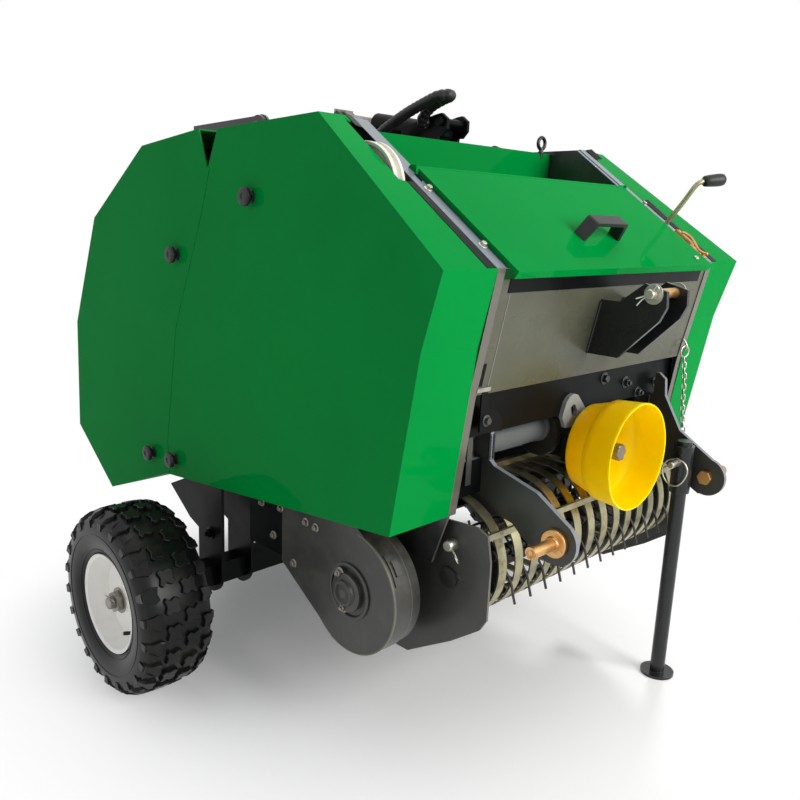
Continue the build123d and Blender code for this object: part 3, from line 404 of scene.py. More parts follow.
# What a finish sets apart from its group, by the names that make_finish takes
sheen = {
    "green_paint": {"coat": 0.09, "coat_roughness": 0.05, "specular": 0.0},
    "black_paint": {"coat": 0.2, "coat_roughness": 0.12, "specular": 0.35},
    "shade_darkened_black": {"coat": 0.03, "specular": 0.08},
    "case_black": {"coat": 0.25, "coat_roughness": 0.2},
    "panel_black": {"coat": 0.1, "coat_roughness": 0.14, "specular": 0.2},
    "edge_grey": {"coat": 0.5, "coat_roughness": 0.15},
    "flange_grey": {"coat": 0.5, "coat_roughness": 0.15},
    "slope_grey": {"coat": 0.2, "coat_roughness": 0.12},
    "plate_painted_highlight": {"coat": 0.1, "coat_roughness": 0.2},
    "cover_painted_highlight": {"coat": 0.2, "coat_roughness": 0.2},
    "strap_olive": {"coat": 0.2, "coat_roughness": 0.15},
    "yellow_plastic": {"coat": 0.04, "specular": 0.1, "glow": 0.6},
    "cast_grey": {"bump": 0.35, "depth": 0.0006},
    "ear_grey": {"bump": 0.35, "depth": 0.0006},
    "galvanised": {"metallic": 0.9}, "zinc_gold": {"metallic": 0.95},
    "zinc_bright": {"metallic": 0.95}, "shaft_steel": {"metallic": 0.9},
    "spring_black": {"metallic": 0.8},
    "tyre_rubber": {"bump": 0.25, "depth": 0.0006, "specular": 0.22},
    "black_plastic": {"bump": 0.15, "specular": 0.35},
}
for group, columns, table in ((paint_group, PAINT_COLUMNS, painted),
                              (metal_group, METAL_COLUMNS, metals),
                              (rubber_group, RUBBER_COLUMNS, rubbers)):
    for name, row in table.items():
        make_finish(name, group, dict(zip(columns, row)), **sheen.get(name, {}))
print(len(finishes), "finishes")

# %% [markdown]
# The steel nodes of the frame already have the right shape. They get a finish, and a Bevel
# modifier that rounds every sharp edge a little, as folding and flame cutting do. A modifier
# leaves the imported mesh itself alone. A bright thin line on a rounded edge is what makes sheet
# steel look real.

# %% Give the CAD nodes their finishes
finished_nodes = {
    "green_paint": "twine_box lid side_shell_right side_shell_left gate_shell_right "
                   "gate_shell_left",
    "black_paint": "top_deck floor_plate top_link_bracket stand_sleeve stand_leg gearbox "
                   "gate_sides gate_wrap control_lever lifting_eye feed_roller floor_roller",
    # The next row's nodes take the black that is darkened as painted shade
    "shade_darkened_black": "front_beam axle_beam axle_legs cylinder_bracket cylinder_barrel",
    "case_black": "clutch_housing drive_case", "panel_black": "front_panel",
    "edge_grey": "gearbox_carrier", "flange_grey": "frame_sides", "plate_painted_highlight": "hitch_plates",
    "cover_painted_highlight": "pickup_sides", "cast_grey": "drive_tube", "ear_grey": "casting_ear",
    "yellow_plastic": "pto_shield", "rim_cream": "rim_right rim_left", "white_nylon": "rope_wheel",
    "galvanised": "pickup_bands", "zinc_gold": "hitch_pins top_link_pin",
    "zinc_bright": "link_chain lid_catch", "shaft_steel": "cylinder_rod pto_shaft",
    "spring_black": "pickup_reel", "tyre_rubber": "tyre_right tyre_left",
    "black_plastic": "gate_hose shell_knobs gate_knobs lid_handle",
}
# Nodes that a piece made below replaces, and that have too many edges to round
SHARP_NODES = ("pickup_reel", "gate_hose", "link_chain", "tyre_right", "tyre_left", "pto_shield",
               "rim_right", "rim_left")
EDGE_WIDTH, EDGE_ANGLE = 0.0011, 38.0


def round_edges(piece, width, angle):
    """Rounds the edges that are sharper than an angle in degrees, by a width in metres."""
    rounding = piece.modifiers.new("rounded_edges", "BEVEL")
    rounding.width = width
    rounding.segments = 2
    rounding.limit_method = "ANGLE"
    rounding.angle_limit = radians(angle)
    rounding.harden_normals = True


for finish_name, node_names in finished_nodes.items():
    for node_name in node_names.split():
        node_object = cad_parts[node_name]
        if not node_object.data.materials:
            node_object.data.materials.append(None)
        for slot in node_object.material_slots:
            slot.link = "OBJECT"
            slot.material = finishes[finish_name]
        if node_name not in SHARP_NODES:
            round_edges(node_object, EDGE_WIDTH, EDGE_ANGLE)
print(len(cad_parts), "nodes finished")

# %% [markdown]
# New pieces are made in mesh code. bmesh is Blender's editable mesh: vertices and faces are
# added one by one. Most parts of a machine come from three moves, so there is a helper for
# each: a flat outline pushed through its thickness, a profile turned about an axis, and a wire
# carried along a path. All three work in millimetres in their own small frame, which a matrix
# then puts in place.

# %% Define the shape helpers
SIDES = ((-1, "right"), (1, "left"))
# Frames for a prism: outlines of (y, z) pushed along X, and of (x, z) pushed against Y
ACROSS = Matrix(((0, 0, 1, 0), (1, 0, 0, 0), (0, 1, 0, 0), (0, 0, 0, 1)))
FORWARDS = Matrix(((1, 0, 0, 0), (0, 0, -1, 0), (0, 1, 0, 0), (0, 0, 0, 1)))


def around(radius, count, start=0.0):
    """Points spaced evenly on a circle, the first at start degrees."""
    angles = [radians(start) + 2 * pi * k / count for k in range(count)]
    return [(radius * cos(angle), radius * sin(angle)) for angle in angles]


def along_x(place, degrees=90):
    """A frame at place, in mm, whose own Z points along X, or against it for -90."""
    return Matrix.Translation(place) @ Matrix.Rotation(radians(degrees), 4, "Y")


def pointing(place, direction, roll=0.0):
    """A frame at place, in mm, whose own Z points in the direction."""
    axis = Vector(direction).normalized()
    return (Matrix.Translation(Vector(place)) @ axis.to_track_quat("Z", "Y").to_matrix().to_4x4()
            @ Matrix.Rotation(radians(roll), 4, "Z"))


def join_rings(bm, first, second):
    """A band of faces between two rings of as many vertices."""
    for index in range(len(first)):
        following = (index + 1) % len(first)
        bm.faces.new((first[index], first[following], second[following], second[index]))


def add_prism(bm, outline, low, high, matrix, taper=0.0):
    """Pushes an outline of (x, y) points from low to high along the frame's own Z."""
    count = len(outline)
    middle_x = sum(point[0] for point in outline) / count
    middle_y = sum(point[1] for point in outline) / count
    rings = []
    for height, shrink in ((low, 0.0), (high, taper)):
        ring = []
        for x, y in outline:
            reach = hypot(x - middle_x, y - middle_y) or 1.0
            x -= shrink * (x - middle_x) / reach
            y -= shrink * (y - middle_y) / reach
            ring.append(bm.verts.new(matrix @ Vector((x, y, height)) * MM))
        rings.append(ring)
    bm.faces.new(rings[0][::-1])
    bm.faces.new(rings[1])
    join_rings(bm, *rings)


def add_turned(bm, profile, matrix, steps=48, closed=False, lobes=0, lobe_depth=0.0):
    """Turns (height, radius) points about the frame's own Z. closed joins last to first."""
    rings = []
    for height, radius in profile:
        if radius == 0:
            rings.append([bm.verts.new(matrix @ Vector((0, 0, height)) * MM)])
            continue
        ring = []
        for index in range(steps):
            angle = 2 * pi * index / steps
            reach = radius * (1 + lobe_depth * cos(lobes * angle))
            ring.append(bm.verts.new(matrix @ Vector((reach * cos(angle), reach * sin(angle),
                                                      height)) * MM))
        rings.append(ring)
    pairs = list(zip(rings, rings[1:]))
    if closed:
        pairs.append((rings[-1], rings[0]))
    for first, second in pairs:
        for index in range(steps):
            following = (index + 1) % steps
            corners = [first[index % len(first)], first[following % len(first)],
                       second[following % len(second)], second[index % len(second)]]
            unique = list(dict.fromkeys(corners))
            if len(unique) > 2:
                bm.faces.new(unique)
    if not closed:
        for ring, backwards in ((rings[0], True), (rings[-1], False)):
            if len(ring) > 2:
                bm.faces.new(ring[::-1] if backwards else ring)


def smooth_path(points, per_run=6):
    """A Catmull-Rom curve through points, for wire that springs from bend to bend."""
    points = [Vector(point) for point in points]
    padded = [2 * points[0] - points[1]] + points + [2 * points[-1] - points[-2]]
    path = []
    for index in range(1, len(padded) - 2):
        a, b, c, d = padded[index - 1:index + 3]
        for step in range(per_run):
            t = step / per_run
            path.append(0.5 * (2 * b + (c - a) * t + (2 * a - 5 * b + 4 * c - d) * t * t
                               + (3 * b - a - 3 * c + d) * t ** 3))
    return path + [points[-1]]


def add_wire(bm, path, radius, steps=8, loop=False):
    """Carries a circle along a path in mm. radius may be one number or one for each point."""
    path = [Vector(point) for point in path]
    radii = radius if isinstance(radius, (list, tuple)) else [radius] * len(path)
    count = len(path)
    rings = []
    side = None
    for index, here in enumerate(path):
        if loop:
            along = (path[(index + 1) % count] - path[index - 1]).normalized()
        else:
            along = (path[min(index + 1, count - 1)] - path[max(index - 1, 0)]).normalized()
        if side is None:
            side = along.orthogonal().normalized()
        side = (side - along * side.dot(along)).normalized()
        other = along.cross(side)
        rings.append([bm.verts.new((here + radii[index] * (cos(2 * pi * k / steps) * side
                                                          + sin(2 * pi * k / steps) * other)) * MM)
                      for k in range(steps)])
    pairs = list(zip(rings, rings[1:]))
    if loop:
        pairs.append((rings[-1], rings[0]))
    for first, second in pairs:
        join_rings(bm, first, second)
    if not loop:
        bm.faces.new(rings[0][::-1])
        bm.faces.new(rings[-1])


def make_piece(name, bm, body, finish_name, replaced=(), rounding=0.0, sharp=35.0):
    """Turns a bmesh into an object that rides on a CAD body."""
    bmesh.ops.recalc_face_normals(bm, faces=bm.faces)
    mesh = bpy.data.meshes.new(name)
    bm.to_mesh(mesh)
    bm.free()
    mesh.shade_smooth()
    mesh.set_sharp_from_angle(angle=radians(sharp))
    mesh.materials.append(finishes[finish_name])
    piece = bpy.data.objects.new(name, mesh)
    bpy.context.collection.objects.link(piece)
    if rounding:
        round_edges(piece, rounding * MM, sharp)
    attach(piece, body)
    if replaced:
        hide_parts(*replaced)
    print(name, "has", len(mesh.polygons), "faces")


# %% [markdown]
# The tyres are low farm tyres, 406 mm high and 158 mm wide. The carcass is one turned profile.
# Its tread is made of blocks, four across: two in the middle with a waist, like a bow tie, and
# one on each shoulder that runs down the side. Each block stands on the carcass as a small
# tapered prism. The next row is turned by half a pitch on the other half of the tread.

# %% Make the tyres
WHEEL_X, AXLE_Y, AXLE_Z = 664.0, 132.0, 203.0
CARCASS = [(-60, 104), (-63, 108.5), (-69, 116), (-75, 130), (-77.5, 145), (-77.5, 158),
           (-75, 174), (-69.5, 184), (-58, 190.4), (-40, 193.4), (-20, 194.4), (0, 194.6),
           (20, 194.4), (40, 193.4), (58, 190.4), (69.5, 184), (75, 174), (77.5, 158), (77.5, 145),
           (75, 130), (69, 116), (63, 108.5), (60, 104)]
TYRE_RADIUS = 203.0
LUG_ROWS = 22
# A block's rings as (height over the carcass, share of the outline that it keeps)
LUG_RINGS = ((-3.0, 1.0), (7.2, 0.95), (8.4, 0.86))
CENTRE_LUG = [(3.5, -13), (12, -19), (24, -15), (33, -19), (38, -13), (34, 0), (38, 13), (33, 19),
              (24, 11), (12, 17), (3.5, 11), (7, -1)]
SHOULDER_LUG = [(43, -17), (52, -19), (66, -15), (74.2, -12), (75.2, -3), (74.2, 8), (66, 12),
                (52, 17), (43, 12), (47, -2)]
SIDE_BAR = [(165, -9), (183, -11), (183, 8), (165, 5)]
BAR_FOOT, BAR_TOP = 72.0, 77.9
# Raised lines on the side wall as (radius, x from the tyre's middle)
RIDGES = ((118.0, 70.3), (152.0, 77.6))


def carcass_radius(x):
    """The radius of the carcass under the tread at a place across it."""
    for (first_x, first_r), (last_x, last_r) in zip(CARCASS[6:17], CARCASS[7:17]):
        if first_x <= x <= last_x:
            return first_r + (last_r - first_r) * (x - first_x) / (last_x - first_x)
    return CARCASS[6][1]


def add_lug(bm, outline, centre, mirror_x, mirror_s):
    """A tread block at an angle on the wheel. Outline points are (across, along the tread)."""
    middle_x = sum(point[0] for point in outline) / len(outline)
    middle_s = sum(point[1] for point in outline) / len(outline)
    rings = []
    for lift, keep in LUG_RINGS:
        ring = []
        for x, s in outline:
            x = middle_x + (x - middle_x) * keep
            s = middle_s + (s - middle_s) * keep
            radius = carcass_radius(x) + lift
            angle = centre + mirror_s * s / TYRE_RADIUS
            ring.append(bm.verts.new(Vector((mirror_x * x, radius * cos(angle),
                                             radius * sin(angle))) * MM))
        rings.append(ring)
    for first, second in zip(rings, rings[1:]):
        join_rings(bm, first, second)
    bm.faces.new(rings[-1])
    bm.faces.new(rings[0][::-1])


def make_tyre(side, word):
    bm = bmesh.new()
    add_turned(bm, CARCASS, Matrix.Rotation(radians(90), 4, "Y"), steps=120, closed=True)
    for radius, ridge_x in RIDGES:
        for outward in (-1, 1):
            path = [(outward * ridge_x, y, z) for y, z in around(radius, 96)]
            add_wire(bm, path, 1.1, steps=6, loop=True)
    for row in range(LUG_ROWS):
        for half in (-1, 1):
            centre = 2 * pi * (row + (0.5 if half > 0 else 0.0)) / LUG_ROWS
            add_lug(bm, CENTRE_LUG, centre, half, 1 if row % 2 else -1)
            add_lug(bm, SHOULDER_LUG, centre + pi / LUG_ROWS, half, 1)
            bar_matrix = Matrix.Rotation(centre + pi / LUG_ROWS, 4, "X") @ Matrix(
                ((0, 0, half, 0), (1, 0, 0, 0), (0, 1, 0, 0), (0, 0, 0, 1)))
            add_prism(bm, SIDE_BAR, BAR_FOOT, BAR_TOP, bar_matrix, taper=1.5)
    bmesh.ops.translate(bm, verts=bm.verts, vec=Vector((side * WHEEL_X, AXLE_Y, AXLE_Z)) * MM)
    make_piece(f"tread_tyre_{word}", bm, f"wheel_{word}", "tyre_rubber",
               replaced=(f"tyre_{word}",), sharp=28)


for side, word in SIDES:
    make_tyre(side, word)

# %% [markdown]
# The rims are pressed steel, painted cream: a rolled flange, a well, and a disc that is dished
# round the hub. A turned profile gives both faces in one closed loop. The valve and the hub
# nut are what shows that the wheel is a real one.

# %% Make the rims, the valves and the hub nuts
RIM = [(-60, 103), (-63.5, 107.5), (-66.5, 107.6), (-67.5, 105), (-64, 100), (-58, 98.5),
       (-48, 97), (-40, 88), (-10, 87), (-4, 91), (8, 90), (12, 84), (9, 62), (6, 50), (10, 40),
       (12, 34), (-30, 33), (-34.8, 31), (-34.8, 13), (37.5, 13), (37.5, 24), (34, 27), (20, 28),
       (16, 33), (14, 42), (11, 52), (14, 64), (17, 82), (20, 91), (40, 93), (46, 97), (58, 98.5),
       (64, 100), (67.5, 105), (66.5, 107.6), (63.5, 107.5), (60, 103), (50, 100), (44, 97.5),
       (38, 96), (-38, 96), (-44, 97.5), (-50, 100)]
VALVE_TURN = 242
NUT_ACROSS_CORNERS, NUT_FOOT, NUT_TOP = 47.0, 41.0, 54.0
COTTER = [(10, -21, 60), (12, -8, 62), (12, 8, 62), (9, 20, 60)]
for side, word in SIDES:
    outward = along_x((side * WHEEL_X, AXLE_Y, AXLE_Z), 90 * side)
    bm = bmesh.new()
    add_turned(bm, RIM, outward, steps=72, closed=True)
    make_piece(f"pressed_rim_{word}", bm, f"wheel_{word}", "rim_cream", replaced=(f"rim_{word}",),
               sharp=40)
    bm = bmesh.new()
    valve_foot = outward @ Matrix.Rotation(radians(side * VALVE_TURN), 4, "Z")
    valve = valve_foot @ pointing((0, 78, 15.5), (0, -0.25, 1))
    add_turned(bm, [(0, 7.5), (3, 6.5), (6, 4.4), (24, 4.0), (26, 4.4), (34, 4.2), (35, 3),
                    (35, 0)], valve, steps=14)
    make_piece(f"valve_{word}", bm, f"wheel_{word}", "black_plastic", rounding=0.3)
    bm = bmesh.new()
    add_turned(bm, [(38.4, 20), (38.4, 28), (41, 28), (41, 20)], outward, steps=36, closed=True)
    add_prism(bm, around(NUT_ACROSS_CORNERS / 2, 6), NUT_FOOT, NUT_TOP, outward)
    add_turned(bm, [(54, 13.2), (64, 13.0), (66, 11.5), (66, 0)], outward, steps=28)
    add_wire(bm, [outward @ point for point in smooth_path(COTTER)], 1.6)
    make_piece(f"hub_nut_{word}", bm, "frame", "shaft_steel", rounding=0.7)

# %% [markdown]
# Hexagon bolts hold nearly everything on. One bolt is a washer, a chamfered head and the end
# of a thread. A table says where bolts are, which way they look and how wide their heads are,
# and each group of bolts becomes one mesh, because they are alike and ride on one body.

# %% Make the bolts
def add_bolt(bm, place, direction, across=13.0, roll=0.0, nut=False):
    """A washer and a head that is across mm wide over its flats. nut adds the thread's end."""
    frame_here = pointing(place, direction, roll)
    radius = across / 2 / cos(radians(30))
    head = across * 0.55
    add_turned(bm, [(-0.5, across * 0.3), (-0.5, across * 0.9), (1.4, across * 0.9),
                    (1.8, across * 0.84),
                    (1.8, across * 0.3)], frame_here, steps=28, closed=True)
    corners = around(radius, 6)
    add_prism(bm, corners, 1.7, 1.7 + head * 0.85, frame_here)
    add_prism(bm, [(x * 0.995, y * 0.995) for x, y in corners], 1.7 + head * 0.84, 1.7 + head,
              frame_here,
              taper=across * 0.07)
    if nut:
        add_turned(bm, [(head, across * 0.31), (head + across * 0.4, across * 0.31),
                        (head + across * 0.46, across * 0.26), (head + across * 0.46, 0)],
                   frame_here, steps=16)


def make_bolts(name, body, finish_name, rows):
    """One piece of bolts from rows of (place, direction, across, has a thread's end)."""
    bm = bmesh.new()
    for index, (place, direction, across, nut) in enumerate(rows):
        add_bolt(bm, place, direction, across, 17.0 * index, nut)
    make_piece(name, bm, body, finish_name, rounding=0.35)


RIGHT, LEFT, FORWARD, UP = (-1, 0, 0), (1, 0, 0), (0, -1, 0), (0, 0, 1)
SLOPE = (0, -0.5677, 0.8232)
CASE_FACE_X, BEAM_FACE_Y, LEG_FACE_X = -480.0, -517.0, 480.0
case_bolts = [((CASE_FACE_X, y, z), RIGHT, 10, False) for y, z in
              ((-71, 432), (-136, 438), (-113, 372), (-181, 333), (-218, 433), (-249, 431))]
case_bolts += [((-488, -332, 369), RIGHT, 12, True), ((-488, -346, 303), RIGHT, 12, True)]
make_bolts("case_bolts", "frame", "shaft_steel", case_bolts)
beam_bolts = [((x, BEAM_FACE_Y, z), FORWARD, 15, nut) for x, z, nut in
              ((79, 710, False), (169, 691, True), (306, 677, True), (228, 661, True))]
make_bolts("beam_bolts", "frame", "black_paint", beam_bolts)
flange_bolts = [((-370, -403, 1076.4), SLOPE, 10, False), ((-370, -532, 987.5), SLOPE, 10, False),
                ((374, -403, 1076.4), SLOPE, 10, False)]
make_bolts("flange_bolts", "frame", "zinc_bright", flange_bolts)
leg_bolts = [((side * LEG_FACE_X, y, z), (side, 0, 0), 17, True) for side in (-1, 1)
             for y, z in ((110, 446), (160, 446), (212, 438), (128, 300))]
make_bolts("leg_bolts", "frame", "shade_darkened_black", leg_bolts)
print(len(case_bolts + beam_bolts + flange_bolts + leg_bolts), "bolts")

# %% [markdown]
# Where the gate's side shell meets the front one, a folded strip on the front shell laps over
# the gap. It catches the light as one thin line. The strip is an outline that follows the
# split line, a little wider than the gap, and stands just outside both shells.

# %% Make the lap strips
SPLIT_LINE = [(250, 419), (255, 500), (207, 769), (96, 1018), (64, 1108)]
SHELL_FACE = 518.0
LAP_REAR, LAP_FORE, FOLD_REAR = 8.0, -9.0, -5.0
for side, word in SIDES:
    bm = bmesh.new()
    fore = [(y + LAP_FORE, z) for y, z in SPLIT_LINE]
    for rear_shift, near, far in ((LAP_REAR, 0.15, 0.85), (FOLD_REAR, -1.0, 0.4)):
        low, high = sorted((side * (SHELL_FACE + near), side * (SHELL_FACE + far)))
        add_prism(bm, [(y + rear_shift, z) for y, z in SPLIT_LINE] + fore[::-1], low, high, ACROSS)
    make_piece(f"lap_strip_{word}", bm, "frame", "green_paint", rounding=0.2)

# %% [markdown]
# Rubber knobs keep the shells shut. Each is a turned profile with a waist and a domed head
# whose radius waves six times round, so that a wet glove can turn it.

# %% Make the knobs
KNOB = [(0, 0), (0, 13), (3, 13), (5, 10.5), (8, 11), (10, 16.5), (12.5, 18), (16.5, 18), (19, 16),
        (20, 12), (20, 6), (18.6, 5), (18.6, 0)]
for body, words, knobs in (("frame", "shell_knobs", ((-85, 1052), (214, 463))),
                           ("gate", "gate_knobs", ((190, 927), (316, 455)))):
    bm = bmesh.new()
    for side in (-1, 1):
        for y, z in knobs:
            add_turned(bm, KNOB, pointing((side * SHELL_FACE, y, z), (side, 0, 0)), steps=36,
                       lobes=6, lobe_depth=0.02)
    make_piece(f"rubber_{words}", bm, body, "black_plastic", replaced=(words,), sharp=50)

# %% [markdown]
# The input shaft carries six splines. They come from one outline, six points to a tooth, pushed
# along the shaft, with a ring groove near its end. The cone round it is one turned profile.

# %% Make the splined input shaft and the cone guard
SHAFT_Z = 584.0
# A tooth's points as (degrees from its middle, radius)
TOOTH = ((-17, 14.6), (-12, 17.4), (0, 17.5), (12, 17.4), (17, 14.6), (30, 14.5))
spline = []
for tooth in range(6):
    for offset, radius in TOOTH:
        angle = radians(60 * tooth + offset)
        spline.append((radius * cos(angle), radius * sin(angle)))
bm = bmesh.new()
shaft_frame = pointing((0, -549, SHAFT_Z), FORWARD)
add_prism(bm, spline, 0.0, 46.0, shaft_frame)
add_turned(bm, [(45, 14.3), (54, 14.3)], shaft_frame, steps=36)
add_prism(bm, spline, 53.0, 69.0, shaft_frame)
add_prism(bm, spline, 69.0, 71.0, shaft_frame, taper=1.6)
add_turned(bm, [(-20, 0), (-20, 14.9), (1, 14.9), (1, 0)], shaft_frame, steps=36)
make_piece("splined_shaft", bm, "pto_shaft", "shaft_steel", replaced=("pto_shaft",), rounding=0.4)

CONE = [(-544, 30), (-544, 86), (-548, 87), (-571, 93.5), (-587, 97.6), (-590, 98.2), (-592, 102),
        (-594, 103.5), (-610, 104.6), (-650, 108.4), (-655, 109), (-657, 108.2), (-656.5, 105.6),
        (-652, 105), (-610, 101), (-594, 99.4), (-590, 95), (-548, 83.2), (-547.5, 30)]
CONE_FLOOR_Y, CONE_BOLT_REACH = -548.0, 58.0
bm = bmesh.new()
cone_frame = Matrix.Translation((0, 0, SHAFT_Z)) @ Matrix.Rotation(radians(-90), 4, "X")
add_turned(bm, [(y, radius) for y, radius in CONE], cone_frame, steps=96, closed=True)
make_piece("cone_guard", bm, "frame", "yellow_plastic", replaced=("pto_shield",), sharp=45)
bm = bmesh.new()
for x, z in around(CONE_BOLT_REACH, 3, 40):
    add_bolt(bm, (x, CONE_FLOOR_Y, SHAFT_Z + z), FORWARD, 10)
make_piece("cone_bolts", bm, "frame", "shaft_steel", rounding=0.3)

# %% [markdown]
# The gearbox is a grey iron casting under black paint, and the tube beside it carries the drive
# to the right. A flange with three bolts and a collar at the tube's end finish the joint.
# Turned profiles make the round parts.

# %% Dress the gearbox and the drive tube
TUBE_Y, TUBE_Z = -449.0, 613.0
FLANGE_X, FLANGE_BOLT_REACH, GEARBOX_FACE_Y = -24.0, 31.0, -515.0
tube_frame = along_x((0, TUBE_Y, TUBE_Z), -90)
bm = bmesh.new()
add_turned(bm, [(8, 20), (8, 36), (12, 38), (20, 38), (24, 36), (26, 30), (36, 26), (36, 20)],
           tube_frame, steps=64,
           closed=True)
add_turned(bm, [(52, 22), (52, 31), (54, 32.2), (62, 32.2), (65, 30.1)], tube_frame, steps=48)
make_piece("tube_collars", bm, "frame", "cast_grey", rounding=0.8)
bm = bmesh.new()
for y, z in around(FLANGE_BOLT_REACH, 3, 20):
    add_bolt(bm, (FLANGE_X, TUBE_Y + y, TUBE_Z + z), RIGHT, 10)
for x, z in ((-24, 556), (50, 556), (50, 640)):
    add_bolt(bm, (x, GEARBOX_FACE_Y, z), FORWARD, 10)
make_piece("gearbox_bolts", bm, "frame", "cast_grey", rounding=0.3)

# %% [markdown]
# On the round front of the drive case sit a stepped ring and a bearing cap, and a strap with a
# raised clip holds the cover round the rim. The strap is a thin wall: two outlines of one arc,
# pushed across the case's width.

# %% Dress the drive case
CASE_Y, CASE_Z = -351.0, 335.0
case_frame = along_x((CASE_FACE_X, CASE_Y, CASE_Z), -90)
bm = bmesh.new()
add_turned(bm, [(0, 48), (0, 56), (3.5, 56), (5, 54), (5, 50), (3.5, 48)], case_frame, steps=72,
           closed=True)
add_turned(bm, [(7.5, 20), (7.5, 38), (10, 38), (12, 35), (12, 26), (17, 24), (18, 20), (18, 8),
                (16.5, 7), (16.5, 0)],
           case_frame, steps=56)
make_piece("bearing_cap", bm, "frame", "case_black", rounding=0.6)


def add_arc_wall(bm, radius, thickness, start, end, low, high, steps=40):
    """A curved strip about the case's middle, from x = low to high."""
    outer, inner = [], []
    for index in range(steps + 1):
        angle = radians(start + (end - start) * index / steps)
        outer.append((CASE_Y + radius * cos(angle), CASE_Z + radius * sin(angle)))
        inner.append((CASE_Y + (radius - thickness) * cos(angle),
                      CASE_Z + (radius - thickness) * sin(angle)))
    rings = [[bm.verts.new(Vector((x, y, z)) * MM) for y, z in outer + inner[::-1]]
             for x in (low, high)]
    count = len(rings[0])
    for index in range(steps):
        back = count - 1 - index
        for ring in rings:
            bm.faces.new((ring[index], ring[index + 1], ring[back - 1], ring[back]))
    join_rings(bm, *rings)


bm = bmesh.new()
add_arc_wall(bm, 122.0, 2.5, 100, 292, -476, -434)
add_arc_wall(bm, 123.4, 3.0, 98, 294, -480.8, -476.5)
make_piece("case_strap", bm, "frame", "strap_olive", rounding=0.4)
bm = bmesh.new()
add_arc_wall(bm, 125.5, 4.5, 130, 158, -472, -446, steps=8)
add_arc_wall(bm, 129.5, 5.0, 136, 150, -466, -452, steps=6)
make_piece("strap_clip", bm, "frame", "case_black", rounding=0.6)

# %% [markdown]
# Behind the case a flat guard plate closes the space up to the axle leg, and the two gussets
# of the hitch get black faces.

# %% Make the guard plate and the gusset faces
bm = bmesh.new()
guard = [(-26, 452), (-26, 334), (-142, 334), (-150, 372), (-150, 452)]
add_prism(bm, guard, CASE_FACE_X + 0.4, CASE_FACE_X + 5.0, ACROSS)
make_piece("case_guard_plate", bm, "frame", "shade_darkened_black", rounding=0.6)
bm = bmesh.new()
GUSSET_Y, GUSSET_LOW, GUSSET_HIGH = -500.0, 534.6, 600.4
face = [(GUSSET_Y - 0.8, GUSSET_LOW), (GUSSET_Y, GUSSET_LOW), (GUSSET_Y, GUSSET_HIGH),
        (GUSSET_Y - 0.8, GUSSET_HIGH)]
for low_x, high_x in ((-382.0, -295.3), (295.3, 382.0)):
    add_prism(bm, face, low_x, high_x, ACROSS)
make_piece("gusset_faces", bm, "frame", "shade_darkened_black")

# %% [markdown]
# Pins that are pulled by hand need clips. An R-clip, a cotter and a linch ring are springy
# wire, so each is a handful of points under a smooth curve, with a circle carried along it.

# %% Make the pins and clips
LOWER_PIN_Y, LOWER_PIN_Z = -674.0, 489.0
TOP_PIN_Y, TOP_PIN_Z = -675.0, 908.0
STAND_Y, STAND_PIN_Z = -630.0, 522.0
CLIP_WIRE, RING_WIRE = 1.5, 2.0
STAND_RING = [(226, -630, 532), (226, -610, 524), (226, -599, 505), (226, -603, 485),
              (226, -617, 471), (226, -636, 471), (226, -650, 486), (226, -657, 508),
              (226, -648, 526), (226, -630, 532)]


def add_clip(bm, place, direction, size=1.0, roll=0.0, wire=CLIP_WIRE):
    """A hairpin clip through a pin: one straight leg and one waved leg."""
    here = pointing(place, direction, roll)
    shape = [(0, 0, -14), (0, 0, 26), (0, 5, 34), (0, 13, 33), (0, 16, 25), (0, 10, 16),
             (0, 3.4, 8), (0, 3.2, 2), (0, 7, -6), (0, 12, -12)]
    path = [here @ (Vector(point) * size) for point in shape]
    add_wire(bm, smooth_path(path), wire)


bm = bmesh.new()
for side in (-1, 1):
    add_turned(bm, [(0, 11.5), (0, 25), (2, 26), (8, 26), (10, 24), (10, 14), (14, 12.5)],
               pointing((side * 295, LOWER_PIN_Y, LOWER_PIN_Z), (side, 0, 0)), steps=40)
    add_turned(bm, [(0, 11.05), (6, 11.05), (9, 8), (9, 4), (4, 3.5), (4, 0)],
               pointing((side * 359, LOWER_PIN_Y, LOWER_PIN_Z), (side, 0, 0)), steps=32)
add_prism(bm, around(19 * 0.87, 6), 0.0, 12.0, pointing((285, LOWER_PIN_Y, LOWER_PIN_Z), RIGHT))
make_piece("lower_pin_collars", bm, "frame", "zinc_gold", rounding=0.6)

bm = bmesh.new()
for side in (-1, 1):
    add_turned(bm, [(0, 9.6), (0, 19), (3, 19), (3, 9.6)],
               pointing((side * 44.2, TOP_PIN_Y, TOP_PIN_Z), (side, 0, 0)),
               steps=36, closed=True)
add_turned(bm, [(0, 9.55), (14, 9.55), (16, 8.5), (16, 0)],
           pointing((-48, TOP_PIN_Y, TOP_PIN_Z), RIGHT), steps=28)
make_piece("link_washers", bm, "frame", "zinc_bright", rounding=0.4)
bm = bmesh.new()
add_wire(bm, smooth_path([(-56, -683, 914), (-56, -676, 909), (-57, -660, 898), (-62, -652, 886)]),
         CLIP_WIRE)
add_wire(bm, smooth_path([(-56, -683, 914), (-57, -690, 919), (-59, -686, 924), (-58, -678, 916),
                          (-57, -662, 904),
                          (-60, -648, 898)]), CLIP_WIRE)
add_wire(bm, smooth_path(STAND_RING), RING_WIRE)
add_clip(bm, (-376, -506, 449), (0.1, -0.55, -0.8), 0.95, 60)
make_piece("wire_clips", bm, "frame", "zinc_bright", sharp=60)

